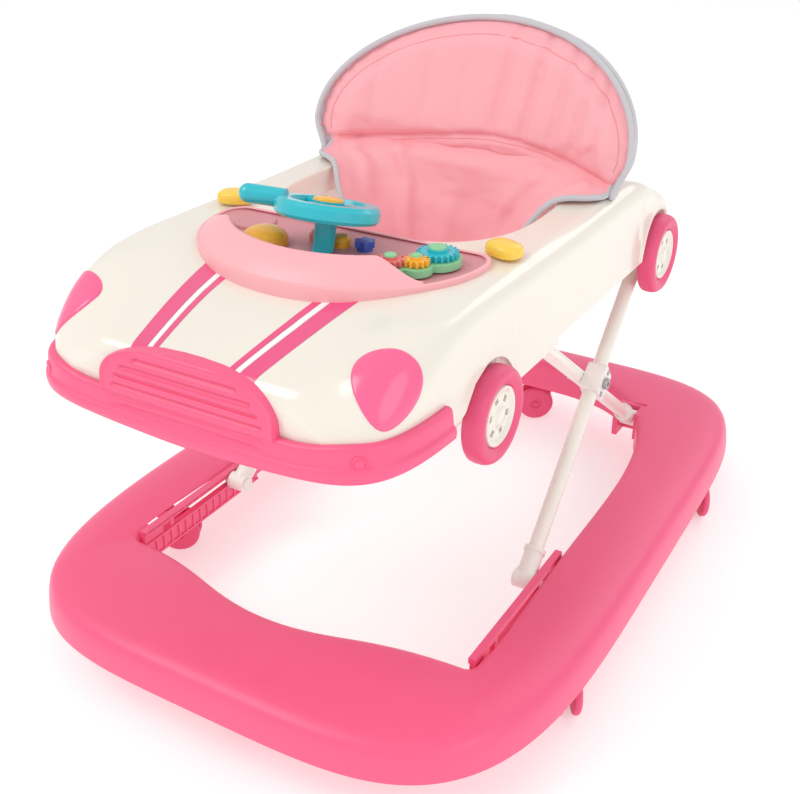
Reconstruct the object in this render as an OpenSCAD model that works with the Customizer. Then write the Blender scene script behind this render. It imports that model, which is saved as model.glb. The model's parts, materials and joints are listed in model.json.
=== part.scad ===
// Baby walker in the shape of a small car: a wide base ring on six twin-disc
// castors, a folding scissor frame, and a car body with a padded seat and a play tray.
// The front of the car faces -Y, Z = 0 is the floor, and +X is on the right of
// someone who stands in front of the car and looks at it.

/* [Base ring] */
// Length of the base ring, front to back
base_len = 796; // [700:1:900]
// Width of the base ring at the front
base_wid = 578; // [520:1:640]
// How much narrower the base ring is at the back
base_taper = 12; // [0:1:30]
// Height of the ring's bottom edge above the floor
base_bottom = 54; // [52:1:64]
// Height of the ring's crown above its bottom edge
base_rise = 40; // [32:1:60]
// Wall of the ring's moulded shell
base_wall = 4; // [2.5:0.5:6]
// Width of the opening in the ring
opening_wid = 400; // [370:1:420]
// Distance from the middle to the opening's front corners
opening_front = 250; // [230:1:270]
// How far the ring's outline sits behind the middle of the walker
base_shift = 4.5; // [0:0.5:5]
// How far the opening bows forward at the centre
opening_bow = 38; // [0:1:60]
// Distance from the middle to the back of the opening
opening_rear = 335; // [325:1:350]

/* [Castors] */
// Diameter of a castor disc
castor_d = 48; // [40:1:52]
// Thickness of one castor disc
castor_disc_w = 8; // [5:0.5:12]
// Thickness of the housing between the two discs
castor_web = 9; // [6:0.5:14]
// Distance from the swivel axis to the axle
castor_trail = 16; // [10:1:22]
// Diameter of the swivel stem
stem_d = 9; // [6:0.5:12]
// Length of the swivel stem inside its socket
stem_len = 26; // [16:1:30]
// Diameter of the socket that takes the stem
socket_d = 20; // [16:1:26]
// Diameter of the castor axle
axle_d = 5; // [4:0.5:8]

/* [Lift frame] */
// Outer diameter of the steel tubes
tube_d = 16; // [12:0.5:20]
// Wall of the steel tubes
tube_wall = 1.4; // [1:0.1:2]
// Tube angle above the floor with the walker raised
frame_angle = 36.5; // [30:0.5:42]
// Distance from a lower pivot to the crossing of the tubes
lower_arm = 232; // [220:1:240]
// Distance from the crossing of the tubes to an upper pivot
upper_arm = 185; // [175:1:190]
// Height of the lower pivots above the floor
low_pivot_z = 80; // [76:1:86]
// Distance of the rear pivots behind the middle of the base
rear_pivot_y = 275; // [270:1:280]
// Distance of the inner tubes from the centre plane
inner_tube_x = 150; // [145:1:155]
// Distance of the outer tubes' feet from the centre plane
foot_x = 180; // [177:0.5:181]
// Distance of the outer tubes' upper ends from the centre plane
top_pivot_x = 157; // [155:0.5:158]
// Diameter of the rear pivot pins and the crossing bolts
pin_d = 6; // [4:0.5:8]
// Diameter of the foot pins and the upper stub pins
stub_d = 9; // [6:0.5:10]
// Outer diameter of the tubes' end caps
cap_d = 20; // [18:0.5:24]
// Length of an end cap along its tube
cap_len = 34; // [28:1:45]

/* [Slotted rails] */
// Length of a rail
rail_len = 193; // [180:1:200]
// Distance from the middle of the base to the rail's rear end
rail_rear = -50; // [-60:1:-44]
// Thickness of a rail's plate
rail_t = 6; // [4:0.5:7]
// Height of a rail's stiffening ribs above its plate
rib_h = 1.5; // [1:0.25:2]
// Distance between the ribs
rib_pitch = 12; // [8:1:20]

/* [Car body] */
// Width of the car body
body_wid = 362; // [356:1:372]
// Distance from the middle to the front of the body
body_front = 365; // [350:1:385]
// Distance from the middle to the back of the body
body_rear = 262; // [260:1:280]
// Height of the deck around the seat
deck_z = 423; // [415:1:440]
// Height of the body's lower edge
skirt_z = 330; // [325:1:338]
// Fall of the bonnet from the deck to its front edge
bonnet_fall = 38; // [20:1:50]
// Fall of the tail from the deck to its rear edge
tail_fall = 62; // [40:1:80]
// Wall of the body shell
body_wall = 3; // [2:0.5:4]
// Width of the seat opening
seat_hole_wid = 264; // [240:1:280]
// Length of the seat opening
seat_hole_len = 248; // [230:1:260]
// Distance of the seat opening's centre behind the middle
seat_hole_y = 3; // [-5:1:10]
// Depth of the flange round the seat opening
flange_depth = 26; // [15:1:35]

/* [Car wheels] */
// Diameter of the toy tyres
tyre_d = 87; // [80:1:90]
// Width of the toy tyres
tyre_w = 20; // [16:1:24]
// Diameter of the toy wheel hubs
hub_d = 55; // [45:1:60]
// Distance of the front wheels in front of the middle
front_wheel_y = 197; // [190:1:205]
// Height of the front wheels' centres
front_wheel_z = 317; // [310:1:325]
// Distance of the rear wheels behind the middle
rear_wheel_y = 208; // [205:1:212]
// Height of the rear wheels' centres
rear_wheel_z = 328; // [322:1:334]
// Gap between a tyre and its wheel arch
arch_gap = 5; // [3:0.5:8]

/* [Front end] */
// Height of the bumper
bumper_h = 35; // [28:1:45]
// How far the bumper stands out from the body
bumper_out = 9; // [6:0.5:14]
// Height of the bumper's bottom edge
bumper_z = 318; // [312:1:322]
// Width of the grille
grille_wid = 176; // [150:1:190]
// Height of the grille
grille_h = 36; // [30:1:42]
// Thickness of the grille
grille_t = 6; // [4:0.5:8]
// Angle of the shoulder that a headlight lens covers
lamp_len = 66; // [50:1:74]
// Width of a headlight lens across the car
lamp_wid = 34; // [26:1:38]

/* [Seat] */
// Half the width of the seat back
back_half = 184; // [170:1:190]
// Height of the seat back above the deck
back_h = 146; // [120:1:170]
// Thickness of the back pad
pad_t = 20; // [12:1:30]
// Thickness of the board behind the pad
board_t = 5; // [3:0.5:8]
// Thickness of the seat sling's padded cloth
sling_t = 6; // [4:0.5:10]

/* [Play tray] */
// Half the width of the tray
tray_half = 140; // [130:1:150]
// Distance of the tray's middle from the centre plane
tray_side = 10.5; // [0:0.5:12]
// Length of the tray from its back edge to its bowed front
tray_len = 142; // [130:1:150]
// Distance of the tray's back edge in front of the middle
tray_back = 127; // [124:1:135]
// Height of the tray floor
tray_z = 427; // [425:1:432]
// Height of the cowl round the front of the tray
cowl_h = 17; // [12:1:20]

/* [Toys] */
// Diameter of the steering wheel
steer_d = 92; // [80:1:98]
// Thickness of the steering wheel's rim
steer_t = 15; // [10:1:18]
// Length of the steering column above the tray
column_len = 28; // [26:1:38]
// Backward lean of the steering column
column_lean = 15; // [0:1:20]
// Module of the toy gears
gear_module = 1.65; // [1.5:0.05:1.7]
// Thickness of the toy gears
gear_t = 5; // [4:0.5:7]
// Travel of the play buttons
press = 2.5; // [1.5:0.5:3]

/* [Fits] */
// Radial clearance of a shaft that turns in a bore
run_fit = 0.05; // [0.02:0.01:0.09]
// Clearance between parts that pass each other
clear = 0.4; // [0.3:0.1:0.6]

/* [Hidden] */
$fn = 48;

// Colours
pink = "#ef6189";
deep_pink = "#dd4f78";
pale_pink = "#f7aab2";
cloth_pink = "#f8a3ab";
dusty_pink = "#dd8f9b";
cream = "#f1ece3";
white = "#f5f3ef";
steel = "#b9bcc0";
teal = "#27b6c4";
yellow = "#f6b93b";
red = "#d9575f";
blue = "#3c5fc0";
mint = "#8fd0a0";

// Heights and places that follow from the driving dimensions
base_top = base_bottom + base_rise;
castor_places = [[250, -152], [-250, -152], [250, 238], [-250, 238], [0, -342], [0, 362]];
castor_headings = [301, 31, 301, 64, 31, 211];
socket_top = base_top - base_wall - 1.5;
housing_top = base_bottom - 1;
crossing_y = rear_pivot_y - lower_arm * cos(frame_angle);
crossing_z = low_pivot_z + lower_arm * sin(frame_angle);
inner_low = [inner_tube_x, rear_pivot_y, low_pivot_z];
inner_top = [inner_tube_x, crossing_y - upper_arm * cos(frame_angle),
    crossing_z + upper_arm * sin(frame_angle)];
outer_low = [foot_x, crossing_y - lower_arm * cos(frame_angle), low_pivot_z];
outer_top = [top_pivot_x, crossing_y + upper_arm * cos(frame_angle), inner_top[2]];
crossing_x = foot_x + (top_pivot_x - foot_x) * lower_arm / (lower_arm + upper_arm);
folded_angle = 10.5;
foot_travel = 2 * lower_arm * (cos(folded_angle) - cos(frame_angle));
top_travel = 2 * upper_arm * (cos(folded_angle) - cos(frame_angle));
rail_x = opening_wid / 2 - 1 - rail_t;
plate_x = top_pivot_x + cap_d / 2 + 3.8;
plate_t = 3;
tyre_x = plate_x + plate_t + 1;
body_half = body_wid / 2;
arch_r = tyre_d / 2 + arch_gap;
tray_centre_y = -tray_back - 23;
tray_reach = tray_len - 23;

// ---- Helpers -------------------------------------------------------------

function blend(a, b, f) = a + (b - a) * f;
function ramp(f) = let (c = min(max(f, 0), 1)) c * c * (3 - 2 * c);
function signed_pow(v, p) = sign(v) * pow(abs(v), p);
function oval(n, t) = [signed_pow(cos(t), 2 / n), signed_pow(sin(t), 2 / n)];
function oval_radius(a, b, n, t) =
    pow(pow(abs(cos(t)) / a, n) + pow(abs(sin(t)) / b, n), -1 / n);

module both_sides() {
    children();
    mirror([1, 0, 0]) children();
}

// A shaft along X, centred on p
module across(p, len, r) {
    translate(p) rotate([0, 90, 0]) cylinder(h = len, r = r, center = true);
}

// Turns a shape built along +Z so that it runs from p towards q
module along(p, q) {
    d = q - p;
    translate(p) rotate([0, acos(d[2] / norm(d)), atan2(d[1], d[0])]) children();
}

// Solid whose surface joins each ring of points to the next one, and the last to the first
module ring_solid(rings) {
    n = len(rings);
    m = len(rings[0]);
    polyhedron(points = [for (ring = rings) each ring],
        faces = [for (i = [0:n - 1], j = [0:m - 1])
            let (a = i * m + j, b = i * m + (j + 1) % m,
                c = ((i + 1) % n) * m + (j + 1) % m, d = ((i + 1) % n) * m + j)
            each [[a, b, c], [a, c, d]]]);
}

// Solid swept along an open run of rings, closed by a fan at each end
module run_solid(rings) {
    n = len(rings);
    m = len(rings[0]);
    walls = [for (i = [0:n - 2], j = [0:m - 1])
        let (a = i * m + j, b = i * m + (j + 1) % m,
            c = (i + 1) * m + (j + 1) % m, d = (i + 1) * m + j)
        each [[a, b, c], [a, c, d]]];
    start = [for (j = [1:m - 2]) [0, j + 1, j]];
    end = [for (j = [1:m - 2]) [(n - 1) * m, (n - 1) * m + j, (n - 1) * m + j + 1]];
    polyhedron(points = [for (ring = rings) each ring], faces = concat(walls, start, end));
}

// Solid between two grids of points of the same size: front faces one way, back the other
module slab_solid(front, back) {
    rings = [for (i = [0:len(front) - 1])
        concat(front[i], [for (j = [len(back[i]) - 1:-1:0]) back[i][j]])];
    n = len(rings);
    m = len(rings[0]);
    h = m / 2;
    walls = [for (i = [0:n - 2], j = [0:m - 1])
        let (a = i * m + j, b = i * m + (j + 1) % m,
            c = (i + 1) * m + (j + 1) % m, d = (i + 1) * m + j)
        each [[a, b, c], [a, c, d]]];
    start = [for (j = [0:h - 2]) each [[j, m - 2 - j, j + 1], [j, m - 1 - j, m - 2 - j]]];
    last = (n - 1) * m;
    end = [for (j = [0:h - 2])
        each [[last + j, last + j + 1, last + m - 2 - j],
              [last + j, last + m - 2 - j, last + m - 1 - j]]];
    polyhedron(points = [for (ring = rings) each ring], faces = concat(walls, start, end));
}

// ---- Base ring -----------------------------------------------------------

// Squareness of the ring's front and rear corners
base_front_corner = 4.1;
base_rear_corner = 5.8;
opening_edge_share = 42;
opening_back_corner = 3;
base_step = 5;

function base_outer(t) = let (p = oval(t > 180 ? base_front_corner : base_rear_corner, t))
    [p[0] * (base_wid / 2 - base_taper * (1 + p[1]) / 2), p[1] * base_len / 2 + base_shift];
// The front of the opening is nearly square: a bowed edge, a short corner and straight sides
function base_inner(t) = let (w = opening_wid / 2, turn = abs(t - 270), side = sign(t - 270),
        edge = turn / opening_edge_share, p = oval(opening_back_corner, t))
    turn >= 90 ? [p[0] * w, p[1] * opening_rear]
    : turn <= opening_edge_share ? [side * (w - 9) * edge,
        -opening_front - opening_bow * pow(cos(90 * edge), 2)]
    : [side * w, -(opening_front - 9) * (90 - turn) / (90 - opening_edge_share - 3)];

// Share of the way from the opening to the outside, and depth under the crown
base_skin = [[0, base_rise], [0, 5], [0.04, 1.5], [0.3, 0], [0.6, 1], [0.82, 3.5], [0.93, 8.5],
    [0.985, 19], [1, base_rise]];
base_lining = [[0.955, base_rise], [0.94, 22], [0.89, 15], [0.8, 10.5], [0.58, 6.5],
    [0.3, 4.5], [0.07, 6], [0.045, base_rise]];

module base_ring() {
    rings = [for (t = [0:base_step:359]) let (a = base_inner(t), b = base_outer(t))
        [for (k = concat(base_skin, base_lining))
            [blend(a[0], b[0], k[0]), blend(a[1], b[1], k[0]), base_top - k[1]]]];
    color(pink) difference() {
        ring_solid(rings);
        both_sides() {
            rail_window();
            rear_notch();
        }
    }
}

// Opening in the ring's inner wall behind a slotted rail
module rail_window() {
    translate([opening_wid / 2 - 8, rail_rear - rail_len + 18, base_bottom + 8])
        cube([20, rail_len - 36, base_rise - 15]);
}

notch_w = 34;
notch_back = rear_pivot_y + 17;

// Recess that takes a rear pivot bracket
module rear_notch() {
    translate([inner_tube_x - notch_w / 2, rear_pivot_y - 30, base_bottom - 2])
        cube([notch_w, notch_back - rear_pivot_y + 30, base_rise + 6]);
}

module rear_pivot_brackets() {
    ear = (notch_w - cap_d - 2 * clear) / 2;
    color(pink) both_sides() difference() {
        translate([inner_tube_x - notch_w / 2, rear_pivot_y - 13, base_bottom + 3])
            cube([notch_w, notch_back - rear_pivot_y + 13, base_rise - 5]);
        translate([inner_tube_x - notch_w / 2 + ear, rear_pivot_y - 20, base_bottom - 1])
            cube([notch_w - 2 * ear, cap_d / 2 + 1.5 + 20, base_rise + 6]);
        across(inner_low, notch_w + 2, pin_d / 2);
    }
}

module rear_pivot_pins() {
    color(steel) both_sides() across(inner_low, notch_w - 2, pin_d / 2);
}

slot_half = stub_d / 2 + clear;
slot_rear = outer_low[1] + stub_d / 2 + 13;
slot_front = outer_low[1] - foot_travel - stub_d / 2 - 28;
stop_d = 6;
stop_y = slot_front + 14;

module right_rail() {
    front = rail_rear - rail_len;
    rows = floor((rail_len - 8) / rib_pitch);
    color(pink) difference() {
        union() {
            translate([rail_x, front, base_bottom]) cube([rail_t, rail_len, base_rise - 3]);
            for (k = [0:rows], z = [base_bottom + 2, low_pivot_z + slot_half + 2.5])
                translate([rail_x - rib_h, front + 4 + k * rib_pitch - 1, z])
                    cube([rib_h + 1, 2, (z > low_pivot_z ? base_top - 5 : low_pivot_z
                        - slot_half - 2.5) - z]);
            for (z = [base_bottom, low_pivot_z - slot_half - 2.5, low_pivot_z + slot_half,
                    base_top - 5.5])
                translate([rail_x - rib_h, front, z]) cube([rib_h + 1, rail_len, 2.5]);
        }
        translate([rail_x - rib_h - 1, slot_front, low_pivot_z - slot_half])
            cube([rail_t + rib_h + 2, slot_rear - slot_front, 2 * slot_half]);
    }
    // Stop across the slot beyond the foot's travel
    color(pink) translate([rail_x, stop_y - stop_d / 2, low_pivot_z - slot_half])
        cube([rail_t, stop_d, 2 * slot_half]);
}

module left_rail() {
    mirror([1, 0, 0]) right_rail();
}

// ---- Castors -------------------------------------------------------------

module at_castor(k) {
    translate([castor_places[k][0], castor_places[k][1], 0])
        rotate([0, 0, castor_headings[k]]) children();
}

module castor_sockets() {
    color(pink) for (k = [0:len(castor_places) - 1]) at_castor(k) difference() {
        translate([0, 0, base_bottom]) cylinder(h = socket_top - base_bottom, d = socket_d);
        translate([0, 0, base_bottom - 1])
            cylinder(h = stem_len + 2, r = stem_d / 2 + run_fit);
    }
}

module castor_housing(k) {
    axle_z = castor_d / 2;
    color(pink) at_castor(k) difference() {
        union() {
            translate([0, castor_web / 2, 0]) rotate([90, 0, 0])
                linear_extrude(castor_web)
                    polygon([[-10, housing_top], [10, housing_top],
                        [castor_trail + 8, axle_z + 12], [castor_trail + 8, axle_z],
                        [castor_trail - 7, axle_z - 4], [-10, housing_top - 9]]);
            translate([castor_trail, 0, axle_z]) rotate([90, 0, 0])
                cylinder(h = castor_web, r = axle_d / 2 + 5, center = true);
            translate([0, 0, housing_top - 4]) cylinder(h = 4, d = socket_d);
            translate([0, 0, housing_top - 2]) cylinder(h = stem_len + 2, d = stem_d);
        }
        translate([castor_trail, 0, axle_z]) rotate([90, 0, 0])
            cylinder(h = castor_web + 10, r = axle_d / 2 + run_fit, center = true);
    }
}

// Two discs pressed on one axle, which turns in the housing
module castor_discs(k) {
    r = castor_d / 2;
    inner = castor_web / 2 + clear;
    color(deep_pink) at_castor(k) translate([castor_trail, 0, r]) rotate([90, 0, 0]) {
        for (side = [0, 1]) mirror([0, 0, side]) translate([0, 0, inner])
            rotate_extrude() polygon([[0, 0], [r - 1.5, 0], [r, 1.5], [r, castor_disc_w - 3],
                [r - 2, castor_disc_w - 0.8], [r - 4, castor_disc_w],
                [axle_d / 2 + 5, castor_disc_w], [axle_d / 2 + 4, castor_disc_w - 2],
                [0, castor_disc_w - 2]]);
        cylinder(h = 2 * (inner + castor_disc_w) + 1, d = axle_d, center = true);
    }
}

// ---- Scissor frame -------------------------------------------------------

cap_gap = cap_d / 2 + 3;

// Tube between two pivots, cross-drilled where the other tube passes
module frame_tube(p, q, crossing) {
    span = norm(q - p);
    color(cream) difference() {
        along(p, q) difference() {
            translate([0, 0, cap_gap]) cylinder(h = span - 2 * cap_gap, d = tube_d);
            cylinder(h = span, d = tube_d - 2 * tube_wall);
        }
        across(crossing, tube_d * 2, pin_d / 2 + run_fit);
    }
}

// End cap round the end of a tube, with an eye on the pivot axis
module end_cap(p, q, eye_w) {
    difference() {
        union() {
            across(p, eye_w, cap_d / 2);
            along(p, q) cylinder(h = cap_len, d = cap_d);
            along(p, q) translate([0, 0, cap_len - 5]) cylinder(h = 5, d = cap_d + 2.5);
        }
        along(p, q) translate([0, 0, cap_gap]) cylinder(h = cap_len, d = tube_d);
    }
}

inner_cross = [inner_tube_x, crossing_y, crossing_z];
outer_cross = [crossing_x, crossing_y, crossing_z];

module inner_tube_right() {
    frame_tube(inner_low, inner_top, inner_cross);
}

module inner_tube_left() {
    mirror([1, 0, 0]) inner_tube_right();
}

module outer_tube_right() {
    frame_tube(outer_low, outer_top, outer_cross);
}

module outer_tube_left() {
    mirror([1, 0, 0]) outer_tube_right();
}

module inner_pivot_caps() {
    color(white) both_sides() difference() {
        end_cap(inner_low, inner_top, cap_d);
        across(inner_low, cap_d + 2, pin_d / 2 + run_fit);
    }
}

track_x = inner_tube_x + cap_d / 2 + 3;
track_w = body_half - body_wall - track_x;

module slider_caps() {
    stub = 3 + track_w - 2.6;
    color(white) both_sides() {
        end_cap(inner_top, inner_low, cap_d);
        across(inner_top + [cap_d / 2 + stub / 2 - 1, 0, 0], stub + 2, stub_d / 2);
    }
}

module front_crossbar() {
    color(steel) rotate([0, 90, 0]) translate([-inner_top[2], inner_top[1], 0])
        difference() {
            cylinder(h = 2 * (inner_tube_x - cap_d / 2), d = tube_d - 2, center = true);
            cylinder(h = 2 * inner_tube_x, d = tube_d - 5, center = true);
        }
}

block_w = tube_d + 7;
block_in = crossing_x - inner_tube_x - tube_d / 2 - clear;

// Block clamped round an outer tube at the crossing, with the bolt through it
module scissor_blocks() {
    size = tube_d + 12;
    color(white) both_sides() difference() {
        translate(outer_cross - [block_in, 0, 0]) rotate([frame_angle, 0, 0])
            rotate([0, 90, 0]) linear_extrude(block_in + block_w / 2)
                offset(r = 4) square([size - 8, size - 4], center = true);
        along(outer_low, outer_top) cylinder(h = lower_arm + upper_arm, d = tube_d);
        across(outer_cross, block_w * 3, pin_d / 2 + run_fit);
    }
}

// Bolt head outside the block, nut inside the inner tube
module scissor_bolts() {
    outside = crossing_x + block_w / 2 + clear;
    inside = inner_tube_x - tube_d / 2;
    color(steel) both_sides() {
        translate([0, crossing_y, crossing_z]) rotate([0, 90, 0]) {
            translate([0, 0, inside - 6]) cylinder(h = outside - inside + 7, d = pin_d);
            translate([0, 0, inside - 5]) cylinder(h = 5, d = pin_d * 1.9, $fn = 6);
            difference() {
                translate([0, 0, outside]) cylinder(h = 4, d = pin_d * 2.1);
                translate([0, 0, outside + 1.5]) cylinder(h = 4, d = pin_d * 0.9, $fn = 6);
            }
        }
    }
}

foot_eye = 2 * (rail_x - rib_h - 1 - foot_x);

module foot_caps() {
    color(white) both_sides() difference() {
        union() {
            end_cap(outer_low, outer_top, foot_eye);
            across(outer_low - [foot_eye / 2, 0, 0], 3, cap_d / 2 - 3);
        }
        across(outer_low + [5, 0, 0], foot_eye + 2, stub_d / 2);
    }
}

// Pins that hold the feet in the rails' slots
module foot_pins() {
    start = foot_x + 4 - foot_eye / 2;
    finish = rail_x + rail_t - 1;
    color(steel) both_sides()
        across([(start + finish) / 2, outer_low[1], low_pivot_z], finish - start, stub_d / 2);
}

module top_pivot_caps() {
    start = top_pivot_x + cap_gap - 5;
    color(white) both_sides() {
        end_cap(outer_top, outer_low, cap_d);
        across([(start + plate_x + plate_t) / 2 - 2, outer_top[1], outer_top[2]],
            plate_x + plate_t - start + 4, stub_d / 2);
    }
}

module rear_crossbar() {
    color(steel) rotate([0, 90, 0]) translate([-outer_top[2], outer_top[1], 0])
        difference() {
            cylinder(h = 2 * (top_pivot_x - cap_d / 2), d = tube_d - 2, center = true);
            cylinder(h = 2 * top_pivot_x, d = tube_d - 5, center = true);
        }
}

// ---- Car body ------------------------------------------------------------

body_corner = 9;
tail_r = 34;
hole_corner = 2.7;
bonnet_start = -215;
tail_start = 140;

// Height of the skin over the bonnet, deck and tail
function fender(x, y) = 9 * exp(-pow((abs(x) - 150) / 32, 2))
    * ramp((y + 355) / 60) * ramp((bonnet_start - 10 - y) / 60);
function skin_z(x, y) = deck_z
    - bonnet_fall * pow(max(bonnet_start - y, 0) / (body_front + bonnet_start), 1.4)
    - tail_fall * pow(max(y - tail_start, 0) / (body_rear - tail_start), 1.6)
    + fender(x, y);

// Height of the lower edge, which rises over the four wheel arches
function arch_z(y, wheel_y, wheel_z) = abs(y - wheel_y) >= arch_r ? 0
    : wheel_z + sqrt(max(0, arch_r * arch_r - pow(y - wheel_y, 2)));
function edge_z(x, y) = abs(x) < 0.9 * body_half ? skirt_z
    : max(skirt_z, arch_z(y, -front_wheel_y, front_wheel_z),
        arch_z(y, rear_wheel_y, rear_wheel_z));

// Point of the nose's outline at a distance x from the centre plane
function nose_point(x) = [x, -body_front
    * pow(1 - pow(abs(x) / body_half, body_corner), 1 / body_corner)];
arch_angles = [for (k = [0:12]) 180 - 15 * k];
nose_xs = [for (f = [0, 0.14, 0.28, 0.42, 0.55, 0.66, 0.76, 0.84, 0.9, 0.94, 0.965, 0.983,
    0.992]) f * body_half];
side_ys = concat([for (a = arch_angles) -front_wheel_y + arch_r * cos(a)],
    [-110, -60, -10, 40, 90, 130],
    [for (a = arch_angles) let (y = rear_wheel_y + arch_r * cos(a))
        if (y < body_rear - tail_r) y]);

// Right half of the outline from the front centre to the rear centre
function outline_half() = concat([for (x = nose_xs) nose_point(x)],
    [for (y = side_ys) [y < 0 ? body_half
        * pow(1 - pow(-y / body_front, body_corner), 1 / body_corner) : body_half, y]],
    [for (a = [0:15:90]) [body_half - tail_r + tail_r * cos(a),
        body_rear - tail_r + tail_r * sin(a)]],
    [for (f = [0.6, 0.4, 0.2, 0]) [f * body_half, body_rear]]);
function outline() = let (h = outline_half(), n = len(h))
    concat(h, [for (i = [n - 2:-1:1]) [-h[i][0], h[i][1]]]);

function hole_point(p, shrink) = let (t = atan2(p[1] - seat_hole_y, p[0]),
        r = oval_radius(seat_hole_wid / 2 - shrink, seat_hole_len / 2 - shrink,
            hole_corner, t))
    [r * cos(t), seat_hole_y + r * sin(t)];

// Radius of the shoulder: tight at the nose, generous at the headlights
function shoulder(p) = let (front = ramp((-p[1] - 250) / 70),
        corner = ramp((abs(p[0]) - 95) / 45))
    blend(20, blend(14, 38, corner), front);

// One cut through the shell from the flange to the lower edge and back inside
function shell_cut(o) = let (h = hole_point(o, 0), span = norm(o - h), u = (h - o) / span,
        low = edge_z(o[0], o[1]), r = min(shoulder(o), (skin_z(o[0], o[1]) - low) * 0.8),
        deck = [for (f = [0, 0.12, 0.3, 0.48, 0.66, 0.84]) span + (r - span) * f],
        bend = [90, 68, 45, 23, 0], w = body_wall,
        on = function (d, drop) let (q = o + u * d) [q[0], q[1], skin_z(q[0], q[1]) - drop])
    concat([[h[0], h[1], deck_z - flange_depth]],
        [for (d = deck) on(d, 0)],
        [for (a = bend) on(r * (1 - cos(a)), r * (1 - sin(a)))],
        [[o[0], o[1], low]],
        [let (q = o + u * w) [q[0], q[1], low]],
        [for (a = [0, 45, 90]) on(w + (r - w) * (1 - cos(a)), w + (r - w) * (1 - sin(a)))],
        [for (f = [0.6, 0.2]) on(span * f > span - w ? span - w : (r + (span - w - r)
            * (1 - f)), w)],
        [let (q = o + u * (span - w)) [q[0], q[1], skin_z(q[0], q[1]) - w]],
        [let (q = o + u * (span - w)) [q[0], q[1], deck_z - flange_depth]]);

module body_shell() {
    color(cream) difference() {
        ring_solid([for (o = outline()) shell_cut(o)]);
        translate([box_left + 3, box_front + 3, deck_z - 12])
            cube([box_wid - 6, box_len - 6, 20]);
    }
}

box_left = -72;
box_front = -222;
box_wid = 130;
box_len = 72;
box_h = 30;
box_wall = 2;

// Place of each toy wheel: distance back, height
wheel_centres = [[-front_wheel_y, front_wheel_z], [rear_wheel_y, rear_wheel_z]];
wheel_stub_d = 12;

module tyres() {
    r = tyre_d / 2;
    color(deep_pink) both_sides() for (c = wheel_centres)
        translate([tyre_x, c[0], c[1]]) rotate([0, 90, 0]) rotate_extrude($fn = 64)
            polygon([[hub_d / 2, 0], [r - 5, 0], [r - 1.5, 2], [r, 5], [r, tyre_w - 6],
                [r - 1.5, tyre_w - 2.5], [r - 5, tyre_w], [hub_d / 2 + 3, tyre_w],
                [hub_d / 2, tyre_w - 2]]);
}

module wheel_hubs() {
    r = hub_d / 2;
    color(cream) both_sides() for (c = wheel_centres)
        translate([tyre_x, c[0], c[1]]) rotate([0, 90, 0]) difference() {
            union() {
                rotate_extrude($fn = 64) polygon([[0, 2], [r, 2], [r, tyre_w - 3],
                    [r - 2, tyre_w - 1.5], [r - 5, tyre_w - 2.5], [8, tyre_w - 4],
                    [6, tyre_w - 2], [0, tyre_w - 2]]);
                translate([0, 0, plate_x - tyre_x]) cylinder(h = 7, d = wheel_stub_d);
            }
            for (a = [0:60:300]) rotate([0, 0, a]) translate([r * 0.62, 0, tyre_w - 7])
                translate([-3.5, -1.6, 0]) cube([7, 3.2, 8]);
        }
}

// Upright plates under the deck that carry the toy wheels and the frame's rear hinge
module wheel_plates() {
    top = deck_z - 5;
    pivot_y = outer_top[1];
    color(cream) both_sides() difference() {
        translate([plate_x, 0, 0]) rotate([0, -90, 0]) mirror([0, 0, 1])
            linear_extrude(plate_t) {
                polygon([[front_wheel_z - 14, -front_wheel_y + 14],
                    [front_wheel_z - 14, -front_wheel_y - 14],
                    [front_wheel_z + 14, -front_wheel_y - 18], [top, -front_wheel_y + 4],
                    [top, -front_wheel_y + 44], [front_wheel_z + 14, -front_wheel_y + 18]]);
                polygon([[rear_wheel_z - 14, pivot_y + 11], [rear_wheel_z + 16, pivot_y + 11],
                    [rear_wheel_z + 42, rear_wheel_y - 10], [top, tail_start + 8],
                    [top, tail_start - 30], [rear_wheel_z + 14, rear_wheel_y - 20],
                    [rear_wheel_z - 14, rear_wheel_y - 14]]);
            }
        for (c = wheel_centres)
            across([plate_x, c[0], c[1]], 12, wheel_stub_d / 2);
        across([plate_x, pivot_y, outer_top[2]], 12, stub_d / 2 + run_fit);
    }
}

// Slotted tracks in which the inner tubes' upper ends slide forward as the frame folds
module guide_tracks() {
    half = stub_d / 2 + clear;
    rear = inner_top[1] + stub_d / 2 + 4;
    front = inner_top[1] - top_travel - stub_d / 2 - 6;
    color(cream) both_sides() difference() {
        translate([track_x, front - 4, inner_top[2] - half - 3.5])
            cube([track_w, rear - front + 8, 2 * half + 7]);
        translate([track_x - 1, front, inner_top[2] - half])
            cube([track_w - 1, rear - front, 2 * half]);
    }
}

// ---- Bumper, grille, lamps and stripes -----------------------------------

bumper_xs = [for (f = [0.99, 0.983, 0.965, 0.94, 0.9, 0.84, 0.76, 0.66, 0.5, 0.25, 0])
    f * body_half];

module front_bumper() {
    // Distance out from the body's outline, and height above the bottom edge
    section = [[-0.4, 2], [-0.4, bumper_h], [bumper_out - 3, bumper_h],
        [bumper_out - 1, bumper_h - 2], [bumper_out - 1, bumper_h * 0.55],
        [bumper_out + 1, bumper_h * 0.45], [bumper_out + 1, 3], [bumper_out - 1, 0],
        [1, 0]];
    half = [for (x = bumper_xs) nose_frame(x)];
    n = len(half);
    path = concat(half, [for (i = [n - 2:-1:0]) [[-half[i][0][0], half[i][0][1]],
        [-half[i][1][0], half[i][1][1]]]]);
    color(pink) run_solid([for (s = path) [for (k = section)
        [s[0][0] + s[1][0] * k[0], s[0][1] + s[1][1] * k[0], bumper_z + k[1]]]]);
}

// Point on the nose's outline and its outward direction
function nose_frame(x) = let (p = nose_point(x),
        g = [pow(abs(p[0]) / body_half, body_corner - 1) / body_half,
            -pow(abs(p[1]) / body_front, body_corner - 1) / body_front])
    [p, g / norm(g)];

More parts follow.
